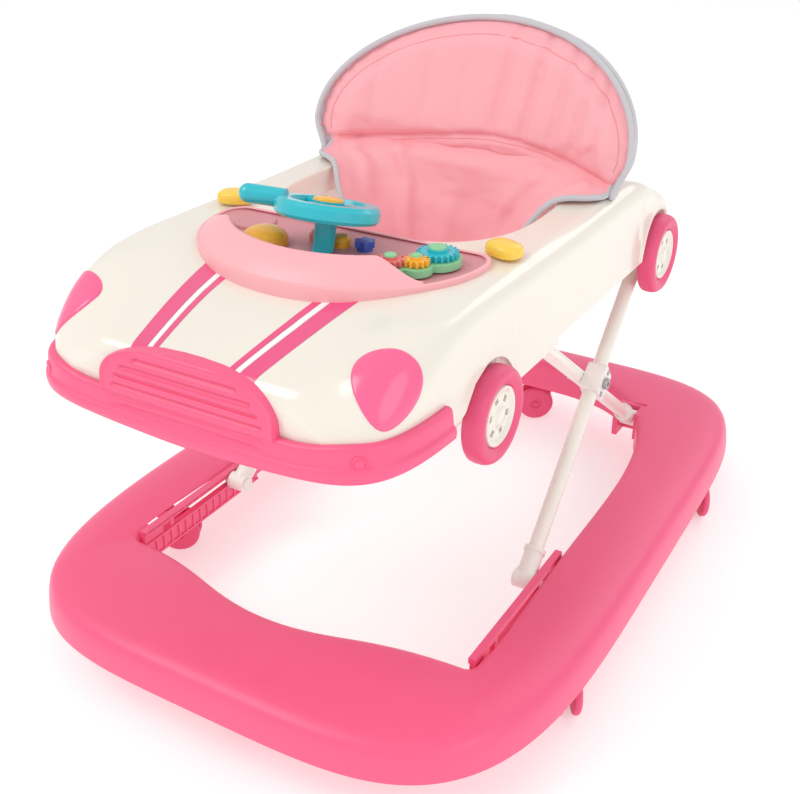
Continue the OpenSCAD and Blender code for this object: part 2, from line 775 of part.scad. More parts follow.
module bumper_buttons() {
    color(pink) both_sides() {
        s = nose_frame(0.88 * body_half);
        translate([s[0][0], s[0][1], bumper_z + bumper_h * 0.72])
            rotate([0, 0, atan2(s[1][1], s[1][0])]) rotate([0, 90, 0])
                translate([0, 0, bumper_out - 2]) cylinder(h = 4, d = 11);
    }
}

module grille_outline(inset) {
    half = grille_wid / 2 - inset;
    high = grille_h - inset;
    polygon(concat([[half, inset], [half, inset + 4]],
        [for (a = [0:10:180]) [half * signed_pow(cos(a), 0.7),
            inset + 4 + (high - inset - 4) * pow(sin(a), 0.7)]],
        [[-half, inset + 4], [-half, inset]]));
}

module grille() {
    slats = 4;
    color(pink) translate([0, -body_front + 0.5, bumper_z + bumper_h])
        rotate([90, 0, 0]) difference() {
            linear_extrude(grille_t) grille_outline(0);
            for (k = [0:slats - 1]) translate([0, 0, grille_t - 2.5]) linear_extrude(5)
                intersection() {
                    grille_outline(5);
                    translate([-grille_wid / 2, 5 + k * (grille_h - 6) / slats])
                        square([grille_wid, (grille_h - 6) / slats - 2.5]);
                }
        }
}

lamp_out = 1.6;

// Point above the shoulder of the nose at distance x from the centre plane
function lamp_point(x, turn, lift) = let (o = nose_point(x), h = hole_point(o, 0),
        u = (h - o) / norm(o - h), r = shoulder(o), q = o + u * (r - (r + lift) * cos(turn)))
    [q[0], q[1], skin_z(q[0], q[1]) - r + (r + lift) * sin(turn)];
// Teardrop grid: rows climb the shoulder, and the rows' width follows the drop
function lamp_grid(lift) = [for (f = [0:0.125:1]) let (wide = lamp_wid / 2
        * sqrt(max(0.03, 1 - pow(2 * f - 1, 2))) * (0.7 + 0.3 * f),
        middle = blend(lamp_x - 3, lamp_x + 5, f))
    [for (k = [-1:0.25:1]) lamp_point(min(middle + wide * k * (k > 0 ? lamp_squeeze : 1),
        0.985 * body_half), blend(12, 12 + lamp_len, f), lift)]];
lamp_x = 156;
lamp_squeeze = 0.8;

module headlights() {
    color(pink) both_sides() slab_solid(lamp_grid(lamp_out), lamp_grid(-1));
}

stripe_t = 1.1;
stripe_lift = -0.5;

// Band on the bonnet between two distances from the centre, given at its front and back
module stripe(front_in, front_out, back_in, back_out) {
    rows = 10;
    grid = function (lift) [for (i = [0:rows]) let (f = i / rows,
            y = blend(-body_front + 16, -tray_back - tray_len + 14, f))
        [for (x = [blend(front_in, back_in, f), blend(front_out, back_out, f)])
            [x, y, skin_z(x, y) + lift]]];
    slab_solid(grid(stripe_lift + stripe_t), grid(stripe_lift));
}

module hood_stripes() {
    color(deep_pink) both_sides() {
        stripe(44, 61, 62, 84);
        stripe(34, 40, 48, 57);
    }
}

// ---- Seat ----------------------------------------------------------------

back_base_y = 115;
back_lean = 0.36;
back_wrap = 45;
back_widest = 38;

// Place of the seat back's front face, from the share of its width and of its height
function back_point(u, v, depth) = let (z = v * back_h,
        wide = z < back_widest ? blend(172, back_half, ramp(z / back_widest))
            : back_half * sqrt(max(0.0, 1 - pow((z - back_widest)
                / (back_h - back_widest), 2.1))),
        x = u * max(wide, 14))
    [x, back_base_y + back_lean * z - back_wrap * pow(x / back_half, 2) + depth,
        deck_z + z];
function back_grid(depth) = [for (v = [0, 0.08, 0.17, 0.26, 0.38, 0.5, 0.62, 0.73, 0.83, 0.91,
        0.96, 0.99, 1]) [for (u = [-1:0.125:1]) back_point(u, v, depth)]];

module seat_back_pad() {
    color(cloth_pink) slab_solid(back_grid(pad_t), back_grid(0));
}

module seat_back_board() {
    color(white) slab_solid(back_grid(pad_t + board_t), back_grid(pad_t));
}

// Sections of the sling from the tray's edge to the foot of the back:
// distance back, height, half width, forward wrap of the sides, lift of the sides
sling_keys = [[-116, deck_z - 8, 62, 0, 0], [-82, deck_z - 45, 52, 0, 0],
    [-36, deck_z - 102, 46, 0, 4], [14, deck_z - 138, 62, 0, 14],
    [66, deck_z - 134, 88, 0, 34], [98, deck_z - 98, 106, 8, 20],
    [110, deck_z - 50, 116, 15, 4], [112, deck_z, 122, 20, 0]];

function key_at(f) = let (n = len(sling_keys) - 1, g = min(f * n, n - 0.0001),
        i = floor(g), s = g - i,
        a = sling_keys[max(i - 1, 0)], b = sling_keys[i], c = sling_keys[i + 1],
        d = sling_keys[min(i + 2, n)])
    0.5 * (2 * b + (c - a) * s + (2 * a - 5 * b + 4 * c - d) * s * s
        + (3 * b - a - 3 * c + d) * s * s * s);
function sling_point(f, u, depth) = let (k = key_at(f), near = key_at(min(f + 0.01, 1)),
        far = key_at(max(f - 0.01, 0)), run = [near[0] - far[0], near[1] - far[1]],
        out = [run[1], -run[0]] / norm(run))
    [u * k[2], k[0] - k[3] * u * u + out[0] * depth, k[1] + k[4] * u * u + out[1] * depth];
function sling_grid(depth) = [for (i = [0:28]) [for (u = [-1:0.2:1])
    sling_point(i / 28, u, depth)]];

module seat_sling() {
    color(cloth_pink) slab_solid(sling_grid(0), sling_grid(sling_t));
}

// ---- Play tray -----------------------------------------------------------

module tray_outline(inset) {
    half = tray_half - inset;
    reach = tray_reach - inset;
    translate([tray_side, 0])
        polygon(concat([for (a = [180:6:360]) [half * cos(a), tray_centre_y + reach * sin(a)]],
            [for (a = [0:15:75]) [half - 16 + 16 * cos(a), tray_centre_y
                + (-tray_back - inset - tray_centre_y) * sin(a)]],
            [for (a = [75:-15:0]) [-(half - 16 + 16 * cos(a)), tray_centre_y
                + (-tray_back - inset - tray_centre_y) * sin(a)]]));
}

tray_foot = deck_z;
column_at = [12, -190, tray_z];
star_at = [40, -166];
yellow_at = [16, -167];
red_at = [-8, -167];
dome_at = [-46, -196];
star_d = 20;
// Low round rest for a cup or a snack bowl
rest_at = [-86, -157];
rest_d = 40;
rest_rise = 1;
round_d = 17;
dome_d = 42;
gear_at = [[113, -167], [107, -192.7], [88, -202.8]];
gear_teeth = [20, 12, 14];
post_d = 4;
pod_h = 7;

module button_holes() {
    for (b = [[star_at, star_d], [yellow_at, round_d], [red_at, round_d], [dome_at, dome_d]])
        translate([b[0][0], b[0][1], tray_z - 12]) cylinder(h = 20, d = b[1] + 2 * clear);
}

module tray_base() {
    color(dusty_pink) difference() {
        union() {
            translate([0, 0, tray_foot]) linear_extrude(tray_z - tray_foot) tray_outline(0);
            translate([rest_at[0], rest_at[1], tray_foot])
                cylinder(h = tray_z - tray_foot + rest_rise, d = rest_d);
        }
        button_holes();
    }
}

// Visor that leans inward from the tray's bowed front edge
module tray_cowl() {
    thick = 4;
    steps = [for (a = [188:6:326]) a];
    lean = 24;
    // Height falls away towards both ends
    high = function (a) cowl_h * ramp((a - 186) / 30) * ramp((328 - a) / 18) + 2;
    at = function (a, inset, z) [tray_side + (tray_half - inset) * cos(a),
        tray_centre_y + (tray_reach - inset) * sin(a), tray_z + 0.2 + z];
    color(pale_pink) run_solid([for (a = steps) let (h = high(a), s = lean * h / cowl_h)
        [at(a, 0.5, 0), at(a, s * 0.45 + 0.5, h * 0.6), at(a, s + 0.5, h),
            at(a, s + thick, h - 1), at(a, s * 0.5 + thick + 2, h * 0.4),
            at(a, thick + 5, 0)]]);
}

module gear_pod() {
    color(mint) for (k = [0:2]) translate([gear_at[k][0], gear_at[k][1], tray_z]) {
        cylinder(h = pod_h, r = gear_teeth[k] * gear_module / 2 + 4);
        cylinder(h = pod_h + gear_t, d = post_d);
    }
}

// Open box under the deck that holds the buttons' works
module sound_box() {
    color(white) translate([box_left, box_front, deck_z - body_wall - box_h]) difference() {
        cube([box_wid, box_len, box_h]);
        translate([box_wall, box_wall, -1])
            cube([box_wid - 2 * box_wall, box_len - 2 * box_wall, box_h + 2]);
    }
}

module battery_cover() {
    color(white) translate([box_left + box_wall, box_front + box_wall,
        deck_z - body_wall - box_h])
        cube([box_wid - 2 * box_wall, box_len - 2 * box_wall, 2]);
}

// ---- Toys ----------------------------------------------------------------

column_d = 19;
spindle_d = 8;

module on_column() {
    translate(column_at) rotate([-column_lean, 0, 0]) children();
}

module steering_column() {
    color(teal) difference() {
        on_column() {
            translate([0, 0, -4]) cylinder(h = column_len + 4, d = column_d);
            cylinder(h = column_len + steer_t - 5, d = spindle_d);
        }
        translate([-30, -230, tray_z - 40]) cube([60, 60, 40]);
    }
}

module steering_wheel() {
    r = steer_d / 2;
    color(teal) on_column() translate([0, 0, column_len + clear]) difference() {
        union() {
            rotate_extrude($fn = 64) polygon([[0, 0], [r - 3, 0], [r, 3], [r, steer_t - 4],
                [r - 3, steer_t], [r - 13, steer_t], [r - 15, steer_t - 5],
                [0, steer_t - 5]]);
            for (a = [30, 150, 270]) rotate([0, 0, a]) translate([0, -6, steer_t - 6])
                cube([r - 8, 12, 4.5]);
            translate([0, 0, steer_t - 6]) cylinder(h = 6, d = 28);
            rotate([0, 0, 198]) translate([r - 8, 0, steer_t / 2 + 4]) rotate([0, 90, 0]) {
                cylinder(h = 34, d = 17);
                translate([0, 0, 34]) sphere(d = 17);
            }
        }
        translate([0, 0, -1]) cylinder(h = steer_t - 4 + 1 - clear, r = spindle_d / 2 + run_fit);
    }
}

function gear_radius(k) = gear_teeth[k] * gear_module / 2;
pressure = 20;
backlash = 0.35;

// Half the angle that a tooth covers at a given radius
function roll(r, base) = r <= base ? 0 : let (a = acos(base / r)) tan(a) * 180 / PI - a;
function tooth_half(k, r) = let (p = gear_radius(k), base = p * cos(pressure))
    90 / gear_teeth[k] - backlash / 2 / p * 180 / PI + roll(p, base) - roll(r, base);

// Toothed wheel with the middle of one tooth at the given heading
module gear(k, heading) {
    p = gear_radius(k);
    tip = p + 0.9 * gear_module;
    root = p - 1.2 * gear_module;
    rs = [root, p - 0.5 * gear_module, p, p + 0.45 * gear_module, tip];
    flank = [for (r = rs) [r, tooth_half(k, r)]];
    difference() {
        union() {
            linear_extrude(gear_t) rotate(heading) polygon([for (n = [0:gear_teeth[k] - 1])
                let (c = n * 360 / gear_teeth[k])
                each concat([for (f = flank) f[0] * [cos(c - f[1]), sin(c - f[1])]],
                    [for (i = [len(flank) - 1:-1:0]) flank[i][0]
                        * [cos(c + flank[i][1]), sin(c + flank[i][1])]])]);
            translate([0, 0, gear_t - 1]) cylinder(h = 3.5, r = root * 0.62);
        }
        translate([0, 0, -1]) cylinder(h = gear_t + 1 + clear / 2, r = post_d / 2 + run_fit);
    }
}

function heading_to(a, b) = atan2(gear_at[b][1] - gear_at[a][1], gear_at[b][0] - gear_at[a][0]);
// A tooth of the large gear points at the small one, which has a gap there, and the small
// gear's tooth nearest the medium gear sets where the medium gear's gap is
large_heading = heading_to(0, 1);
small_heading = heading_to(1, 0) + 180 / gear_teeth[1];
small_phase = (heading_to(1, 2) - small_heading) * gear_teeth[1] / 360;
medium_heading = heading_to(2, 1)
    + (0.5 + small_phase - floor(small_phase)) * 360 / gear_teeth[2];

module place_gear(k) {
    translate([gear_at[k][0], gear_at[k][1], tray_z + pod_h + clear]) children();
}

module gear_large() {
    color(teal) place_gear(0) gear(0, large_heading);
}

module gear_small() {
    color(yellow) place_gear(1) gear(1, small_heading);
}

module gear_medium() {
    color(red) place_gear(2) gear(2, medium_heading);
}

// Button with a stem through the tray, standing on its spring's height
module play_button(at, d, high) {
    translate([at[0], at[1], tray_z - 6]) {
        cylinder(h = 6 + high - 3, d = d);
        translate([0, 0, 6 + high - 3]) cylinder(h = 3, d1 = d, d2 = d - 5);
    }
}

module yellow_button() {
    color(yellow) play_button(yellow_at, round_d, 8);
}

module red_button() {
    color(red) play_button(red_at, round_d, 8);
}

module star_button() {
    points = 6;
    color(blue) translate([star_at[0], star_at[1], tray_z - 6]) {
        cylinder(h = 8.5, d = star_d - 6);
        translate([0, 0, 8.5]) linear_extrude(5) polygon([for (k = [0:2 * points - 1])
            let (r = k % 2 == 0 ? star_d / 2 : star_d / 2 - 3)
            r * [cos(k * 180 / points), sin(k * 180 / points)]]);
    }
}

module dome_button() {
    r = dome_d / 2;
    color(yellow) translate([dome_at[0], dome_at[1], tray_z]) {
        translate([0, 0, -6]) cylinder(h = 6 + press + 1, d = dome_d);
        translate([0, 0, press + 1]) rotate_extrude()
            polygon(concat([[0, 0]], [for (a = [0:10:90]) [r * cos(a), 11 * sin(a)]]));
    }
}

latch_at = [[149, -114], [-141, -116]];

module latch_outline(inset) {
    w = 36 - 2 * inset;
    d = 26 - 2 * inset;
    polygon([for (a = [0:15:345]) [w / 2 * signed_pow(cos(a), 0.7),
        d / 2 * signed_pow(sin(a), 0.7)]]);
}

// Domed latch button at the end of the tray
module latch(at) {
    color(yellow) translate([at[0], at[1], deck_z + press + 0.5])
        rotate([0, 0, -18 * sign(at[0])]) {
            linear_extrude(7) latch_outline(0);
            translate([0, 0, 6]) linear_extrude(4) latch_outline(2.5);
            translate([0, 0, 9]) linear_extrude(3) latch_outline(6);
        }
}

module latch_left() {
    latch(latch_at[1]);
}

module latch_right() {
    latch(latch_at[0]);
}

base_ring();
left_rail();
right_rail();
castor_sockets();
rear_pivot_brackets();
rear_pivot_pins();
castor_housing(0);  // castor_housing_1
castor_housing(1);  // castor_housing_2
castor_housing(2);  // castor_housing_3
castor_housing(3);  // castor_housing_4
castor_housing(4);  // castor_housing_5
castor_housing(5);  // castor_housing_6
castor_discs(0);  // castor_discs_1
castor_discs(1);  // castor_discs_2
castor_discs(2);  // castor_discs_3
castor_discs(3);  // castor_discs_4
castor_discs(4);  // castor_discs_5
castor_discs(5);  // castor_discs_6
inner_tube_left();
inner_tube_right();
inner_pivot_caps();
slider_caps();
front_crossbar();
scissor_bolts();
outer_tube_left();
outer_tube_right();
foot_caps();
foot_pins();
scissor_blocks();
top_pivot_caps();
rear_crossbar();
body_shell();
front_bumper();
grille();
headlights();
hood_stripes();
bumper_buttons();
tyres();
wheel_hubs();
wheel_plates();
guide_tracks();
seat_back_board();
seat_back_pad();
seat_sling();
tray_base();
tray_cowl();
gear_pod();
sound_box();
battery_cover();
steering_column();
steering_wheel();
gear_large();
gear_small();
gear_medium();
star_button();
yellow_button();
red_button();
dome_button();
latch_left();
latch_right();
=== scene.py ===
import json
import math
import bpy
import bmesh
from mathutils import Matrix, Vector, noise
from mathutils.bvhtree import BVHTree

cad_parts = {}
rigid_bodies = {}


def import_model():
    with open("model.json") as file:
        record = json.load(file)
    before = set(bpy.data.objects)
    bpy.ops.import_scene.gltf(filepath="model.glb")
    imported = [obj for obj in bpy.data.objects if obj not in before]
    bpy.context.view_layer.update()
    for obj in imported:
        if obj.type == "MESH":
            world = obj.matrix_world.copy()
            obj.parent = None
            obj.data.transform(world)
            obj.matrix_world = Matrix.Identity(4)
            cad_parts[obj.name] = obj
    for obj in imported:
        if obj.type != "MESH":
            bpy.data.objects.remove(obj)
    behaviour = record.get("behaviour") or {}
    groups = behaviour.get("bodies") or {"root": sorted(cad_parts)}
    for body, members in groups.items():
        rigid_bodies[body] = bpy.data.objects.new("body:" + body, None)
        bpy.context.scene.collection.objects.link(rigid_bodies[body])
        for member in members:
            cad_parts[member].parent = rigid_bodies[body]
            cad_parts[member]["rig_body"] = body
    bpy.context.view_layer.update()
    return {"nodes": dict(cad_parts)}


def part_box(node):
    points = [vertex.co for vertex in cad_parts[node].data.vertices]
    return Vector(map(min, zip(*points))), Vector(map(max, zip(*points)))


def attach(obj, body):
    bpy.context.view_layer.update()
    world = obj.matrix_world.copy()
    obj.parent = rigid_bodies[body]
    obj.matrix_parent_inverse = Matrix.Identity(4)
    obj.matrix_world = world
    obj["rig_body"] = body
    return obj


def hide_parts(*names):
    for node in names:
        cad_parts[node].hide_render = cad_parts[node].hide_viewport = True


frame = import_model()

mm = 0.001
nodes = frame["nodes"]
scene = bpy.context.scene

# ---- camera, floor and light
camera = {"place": (0.5427, -0.9503, 0.7749), "aim": (0.0, -0.040, 0.212), "lens": 50.91,
          "roll": -0.148}


def makeCamera(c):
    data = bpy.data.cameras.new("camera")
    data.lens = c["lens"]
    data.sensor_width = 36.0
    data.clip_end = 40.0
    obj = bpy.data.objects.new("camera", data)
    obj.location = c["place"]
    turn = (Vector(c["aim"]) - Vector(c["place"])).to_track_quat("-Z", "Y")
    obj.rotation_euler = (turn.to_matrix() @ Matrix.Rotation(math.radians(c["roll"]), 3, "Z")
                          ).to_euler()
    scene.collection.objects.link(obj)
    scene.camera = obj


def makeLamp(name, place, aim, size, power, tint=(1, 1, 1)):
    data = bpy.data.lights.new(name, "AREA")
    data.shape = "DISK"
    data.size = size
    data.energy = power
    data.color = tint
    obj = bpy.data.objects.new(name, data)
    obj.location = place
    obj.rotation_euler = (Vector(aim) - Vector(place)).to_track_quat("-Z", "Y").to_euler()
    scene.collection.objects.link(obj)


makeCamera(camera)
studio = {"key": 24.0, "fill": 11.0, "back": 9.0, "sky": 0.76, "paper": 0.42}
makeLamp("keyLamp", (-1.3, -1.5, 2.4), (0, 0, 0.3), 1.5, studio["key"], (1.0, 0.98, 0.95))
makeLamp("fillLamp", (2.3, -0.9, 1.3), (0, 0, 0.3), 1.8, studio["fill"])
makeLamp("backLamp", (0.6, 2.1, 1.9), (0, 0, 0.3), 1.6, studio["back"])
world = bpy.data.worlds.new("studio")
scene.world = world
world.use_nodes = True
world.node_tree.nodes["Background"].inputs["Color"].default_value = (1, 1, 1, 1)
world.node_tree.nodes["Background"].inputs["Strength"].default_value = studio["sky"]
scene.view_settings.view_transform = "Standard"
print("camera and lamps placed")


# ---- shader helpers


class Wire:
    # a socket that adds Math nodes when it is used in an expression
    def __init__(self, tree, socket):
        self.tree = tree
        self.socket = socket

    def math(self, operation, other, flip=False):
        n = self.tree.nodes.new("ShaderNodeMath")
        n.operation = operation
        pair = (other, self) if flip else (self, other)
        for i, v in enumerate(pair):
            if isinstance(v, Wire):
                self.tree.links.new(v.socket, n.inputs[i])
            elif v is not None:
                n.inputs[i].default_value = v
        return Wire(self.tree, n.outputs[0])

    def __add__(self, o): return self.math("ADD", o)
    def __radd__(self, o): return self.math("ADD", o, True)
    def __sub__(self, o): return self.math("SUBTRACT", o)
    def __rsub__(self, o): return self.math("SUBTRACT", o, True)
    def __mul__(self, o): return self.math("MULTIPLY", o)
    def __rmul__(self, o): return self.math("MULTIPLY", o, True)
    def __truediv__(self, o): return self.math("DIVIDE", o)
    def sine(self): return self.math("SINE", None)
    def least(self, o): return self.math("MINIMUM", o)
    def most(self, o): return self.math("MAXIMUM", o)


class Finish:
    # one material and the nodes that make it
    def __init__(self, name):
        self.material = bpy.data.materials.new(name)
        self.material.use_nodes = True
        self.tree = self.material.node_tree
        self.shader = self.tree.nodes["Principled BSDF"]
        self.place = self.add("ShaderNodeTexCoord")["Object"]

    def add(self, kind, settings=None, **inputs):
        n = self.tree.nodes.new(kind)
        for key, v in (settings or {}).items():
            if key == "stops":
                while len(n.color_ramp.elements) < len(v):
                    n.color_ramp.elements.new(0.5)
                for e, (at, colour) in zip(n.color_ramp.elements, v):
                    e.position = at
                    e.color = (*colour, 1)
            else:
                setattr(n, key, v)
        for key, v in inputs.items():
            socket = n.inputs[int(key[1:])] if key[0] == "n" and key[1:].isdigit() \
                else n.inputs[key.replace("_", " ")]
            if isinstance(v, Wire):
                self.tree.links.new(v.socket, socket)
            else:
                socket.default_value = v
        return {o.name: Wire(self.tree, o) for o in n.outputs}

    def noise(self, scale, detail=2.0, rough=0.5, at=None):
        return self.add("ShaderNodeTexNoise", Vector=at or self.place, Scale=scale,
                        Detail=detail, Roughness=rough)["Fac"]

    def mix(self, factor, a, b):
        n = self.tree.nodes.new("ShaderNodeMix")
        n.data_type = "RGBA"
        for i, v in ((0, factor), (6, a), (7, b)):
            if isinstance(v, Wire):
                self.tree.links.new(v.socket, n.inputs[i])
            else:
                n.inputs[i].default_value = v if i == 0 else (*v, 1)
        return Wire(self.tree, n.outputs[2])

    def bump(self, height, distance, strength=1.0, normal=None):
        more = {"Normal": normal} if normal else {}
        return self.add("ShaderNodeBump", Height=height, Distance=distance,
                        Strength=strength, **more)["Normal"]

    def set(self, **inputs):
        for key, v in inputs.items():
            socket = self.shader.inputs[key.replace("_", " ")]
            if isinstance(v, Wire):
                self.tree.links.new(v.socket, socket)
            else:
                socket.default_value = v
        return self.material


def linear(colour):
    # from the usual hex colour to the renderer's own light values
    parts = [int(colour[i:i + 2], 16) / 255 for i in (1, 3, 5)]
    return tuple(c / 12.92 if c <= 0.04045 else ((c + 0.055) / 1.055) ** 2.4 for c in parts)


def shade(colour, by):
    return tuple(min(1.0, c * by) for c in colour)


def plastic(name, colour, rough=0.3, grain=0.00012, grainSize=900.0, coat=0.0, vary=0.05):
    # moulded plastic: fine spark-eroded grain, slow sink marks and faint scuffs
    f = Finish(name)
    base = linear(colour)
    slow = f.noise(6.0, 3.0)
    scuff = f.add("ShaderNodeTexNoise", Vector=f.add("ShaderNodeMapping", Vector=f.place,
                  Scale=(40, 220, 40))["Vector"], Scale=1.0, Detail=4.0)["Fac"]
    scuff = ((scuff - 0.62) * 6.0).most(0.0).least(1.0)
    tone = f.mix(slow, shade(base, 1 - vary), shade(base, 1 + vary))
    f.set(Base_Color=tone, Roughness=rough + (slow - 0.5) * 0.12 + scuff * 0.1,
          Normal=f.bump(slow * 0.6, 0.0006, 0.5, f.bump(f.noise(grainSize, 2.0), grain)),
          Coat_Weight=coat, Coat_Roughness=0.08, IOR=1.48)
    f.material.diffuse_color = (*base, 1)
    return f.material


def paintedSteel(name, colour):
    # powder-coated tube: orange-peel skin and a slow, faint random tone variation
    f = Finish(name)
    base = linear(colour)
    peel = f.noise(420.0, 2.0)
    slow = f.noise(9.0, 3.0)
    f.set(Base_Color=f.mix(slow, shade(base, 0.94), shade(base, 1.03)),
          Roughness=0.26 + (slow - 0.5) * 0.12, Normal=f.bump(peel, 0.00022),
          Coat_Weight=0.35, Coat_Roughness=0.12)
    return f.material


def bareSteel(name, colour):
    f = Finish(name)
    base = linear(colour)
    streak = f.add("ShaderNodeTexNoise", Vector=f.add("ShaderNodeMapping", Vector=f.place,
                   Scale=(30, 900, 900))["Vector"], Scale=1.0, Detail=3.0)["Fac"]
    f.set(Base_Color=f.mix(streak, shade(base, 0.8), shade(base, 1.1)), Metallic=1.0,
          Roughness=0.28 + streak * 0.2, Normal=f.bump(streak, 0.00006))
    return f.material


def cloth(name, colour, threads=1400.0, sheen=0.25, rough=0.85, wrinkle=0.0009):
    # plain-woven polyester over padding: warp and weft, slubs, soft wrinkles
    f = Finish(name)
    base = linear(colour)
    slub = f.noise(60.0, 4.0, 0.6)
    slow = f.noise(11.0, 2.0)
    axes = f.add("ShaderNodeSeparateXYZ", Vector=f.place)
    warp = (axes["X"] * threads * math.pi).sine()
    weft = ((axes["Z"] * 0.8 + axes["Y"] * 0.6) * threads * math.pi).sine()
    weave = (warp * weft) * 0.5 + 0.5
    fold = f.add("ShaderNodeTexNoise", Vector=f.add("ShaderNodeMapping", Vector=f.place,
                 Scale=(26, 11, 9))["Vector"], Scale=1.0, Detail=3.0, Roughness=0.55)["Fac"]
    tone = f.mix(slow * 0.6 + slub * 0.4, shade(base, 0.93), shade(base, 1.05))
    tone = f.mix(weave * 0.18, tone, shade(base, 0.86))
    f.set(Base_Color=tone, Roughness=rough, Sheen_Weight=sheen, Sheen_Roughness=0.45,
          Normal=f.bump(fold, wrinkle, 1.0, f.bump(weave + slub * 0.5, 0.00009)))
    f.shader.inputs["Sheen Tint"].default_value = (1.0, 0.9, 0.9, 1)
    f.material.diffuse_color = (*base, 1)
    return f.material


tones = {"pink": "#f65f8a", "deepPink": "#ea5580", "palePink": "#fbb4ba",
         "floorPink": "#d9939a", "cream": "#efe8dc", "white": "#f4f0ea", "cloth": "#fdb2ba",
         "binding": "#c9c7cc", "teal": "#2cbcca", "yellow": "#fab63a", "sunny": "#fdd050",
         "red": "#e57a74", "blue": "#3a5fc0", "mint": "#8ccf9c", "stripe": "#ec5288",
         "lamp": "#f66495", "thread": "#f3949f"}
finish = {
    "pink": plastic("pinkMoulding", tones["pink"], 0.36, 0.00010),
    "deepPink": plastic("castorNylon", tones["deepPink"], 0.42, 0.00010),
    "palePink": plastic("trayPlastic", tones["palePink"], 0.38, 0.00008),
    "floorPink": plastic("trayFloor", tones["floorPink"], 0.5, 0.00012),
    "cream": plastic("creamGloss", tones["cream"], 0.2, 0.00004, 700.0, 0.5, 0.02),
    "white": plastic("whiteCaps", tones["white"], 0.4, 0.00010, vary=0.03),
    "teal": plastic("tealToy", tones["teal"], 0.24, 0.00005, coat=0.2),
    "yellow": plastic("yellowToy", tones["yellow"], 0.27, 0.00005, coat=0.2),
    "sunny": plastic("latchYellow", tones["sunny"], 0.27, 0.00005, coat=0.2),
    "red": plastic("redToy", tones["red"], 0.3, 0.00005),
    "blue": plastic("blueToy", tones["blue"], 0.26, 0.00005, coat=0.2),
    "mint": plastic("mintToy", tones["mint"], 0.36, 0.00008),
    "stripe": plastic("stripeFilm", tones["stripe"], 0.22, 0.00003, coat=0.4, vary=0.03),
    "film": plastic("whiteFilm", "#fbfaf8", 0.22, 0.00003, coat=0.4, vary=0.01),
    "lamp": plastic("lampLens", tones["lamp"], 0.22, 0.00003, coat=0.4, vary=0.03),
    "tube": paintedSteel("creamTube", "#f7f2e9"),
    "steel": bareSteel("zincSteel", "#b9bcc0"),
    "cloth": cloth("pinkCloth", tones["cloth"]),
    "thread": cloth("sewingThread", tones["thread"], 3000.0, 0.1, 0.7, 0.0001),
    "binding": cloth("greyBinding", tones["binding"], 900.0, 0.15),
}
print("finishes made:", len(finish))


# ---- mesh helpers
def pieceFrom(name, points, faces, material, body, stands=(), slotName=None, sharp=40.0,
              outward=True):
    # points in millimetres, placed in the mesh itself
    mesh = bpy.data.meshes.new(name)
    mesh.from_pydata([Vector(p) * mm for p in points], [], faces)
    mesh.validate()
    obj = bpy.data.objects.new(name, mesh)
    scene.collection.objects.link(obj)
    return settle(obj, material, body, stands, sharp, outward)


def settle(obj, material, body, stands=(), sharp=40.0, outward=True):
    mesh = obj.data
    if outward:
        b = bmesh.new()
        b.from_mesh(mesh)
        bmesh.ops.remove_doubles(b, verts=b.verts, dist=1e-6)
        bmesh.ops.recalc_face_normals(b, faces=b.faces)
        b.to_mesh(mesh)
        b.free()
    mesh.materials.clear()
    mesh.materials.append(finish[material])
    for p in mesh.polygons:
        p.use_smooth = True
    if sharp:
        mesh.set_sharp_from_angle(angle=math.radians(sharp))
    if body:
        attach(obj, body)
    if stands:
        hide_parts(*stands)
    return obj


def grid(rows, closeRows=False, closeCols=False):
    # faces that join equally long rows of points
    n, m = len(rows), len(rows[0])
    points = [p for row in rows for p in row]
    faces = []
    for i in range(n if closeRows else n - 1):
        for j in range(m if closeCols else m - 1):
            a, b = i * m + j, i * m + (j + 1) % m
            c, d = ((i + 1) % n) * m + (j + 1) % m, ((i + 1) % n) * m + j
            faces.append((a, b, c, d))
    return points, faces


def capEnds(faces, n, m):
    # closes the two ends of a tube of n rows of m points
    return faces + [tuple(range(m)), tuple(range((n - 1) * m, n * m))[::-1]]


def lerp(a, b, f):
    return a + (b - a) * f


def ramp(f):
    c = min(max(f, 0.0), 1.0)
    return c * c * (3 - 2 * c)


def spread(a, b, n):
    return [a + (b - a) * i / (n - 1) for i in range(n)]


def signedPower(v, p):
    return math.copysign(abs(v) ** p, v)


def tube(name, path, radius, material, body, sides=12, closed=False, **more):
    # round cord along a path in millimetres
    rows = []
    n = len(path)
    for i, p in enumerate(path):
        a = Vector(path[(i - 1) % n] if closed or i else path[0])
        b = Vector(path[(i + 1) % n] if closed or i < n - 1 else path[-1])
        run = (b - a).normalized()
        side = run.cross(Vector((0, 0, 1)))
        side = side.normalized() if side.length > 1e-4 else Vector((1, 0, 0))
        up = side.cross(run).normalized()
        rows.append([Vector(p) + (side * math.cos(t) + up * math.sin(t)) * radius
                     for t in (2 * math.pi * k / sides for k in range(sides))])
    points, faces = grid(rows, closed, True)
    if not closed:
        faces = capEnds(faces, n, sides)
    return pieceFrom(name, points, faces, material, body, **more)


def lathe(profile, centre, axis, sides=64):
    # points and faces of a profile of (radius, height) turned about an axis
    axis = Vector(axis).normalized()
    side = axis.orthogonal().normalized()
    up = axis.cross(side)
    rows = []
    for k in range(sides):
        t = 2 * math.pi * k / sides
        ray = side * math.cos(t) + up * math.sin(t)
        rows.append([Vector(centre) + axis * h + ray * r for r, h in profile])
    return grid(rows, True, True)


def joinParts(parts):
    points, faces = [], []
    for p, f in parts:
        shift = len(points)
        points += list(p)
        faces += [tuple(i + shift for i in face) for face in f]
    return points, faces


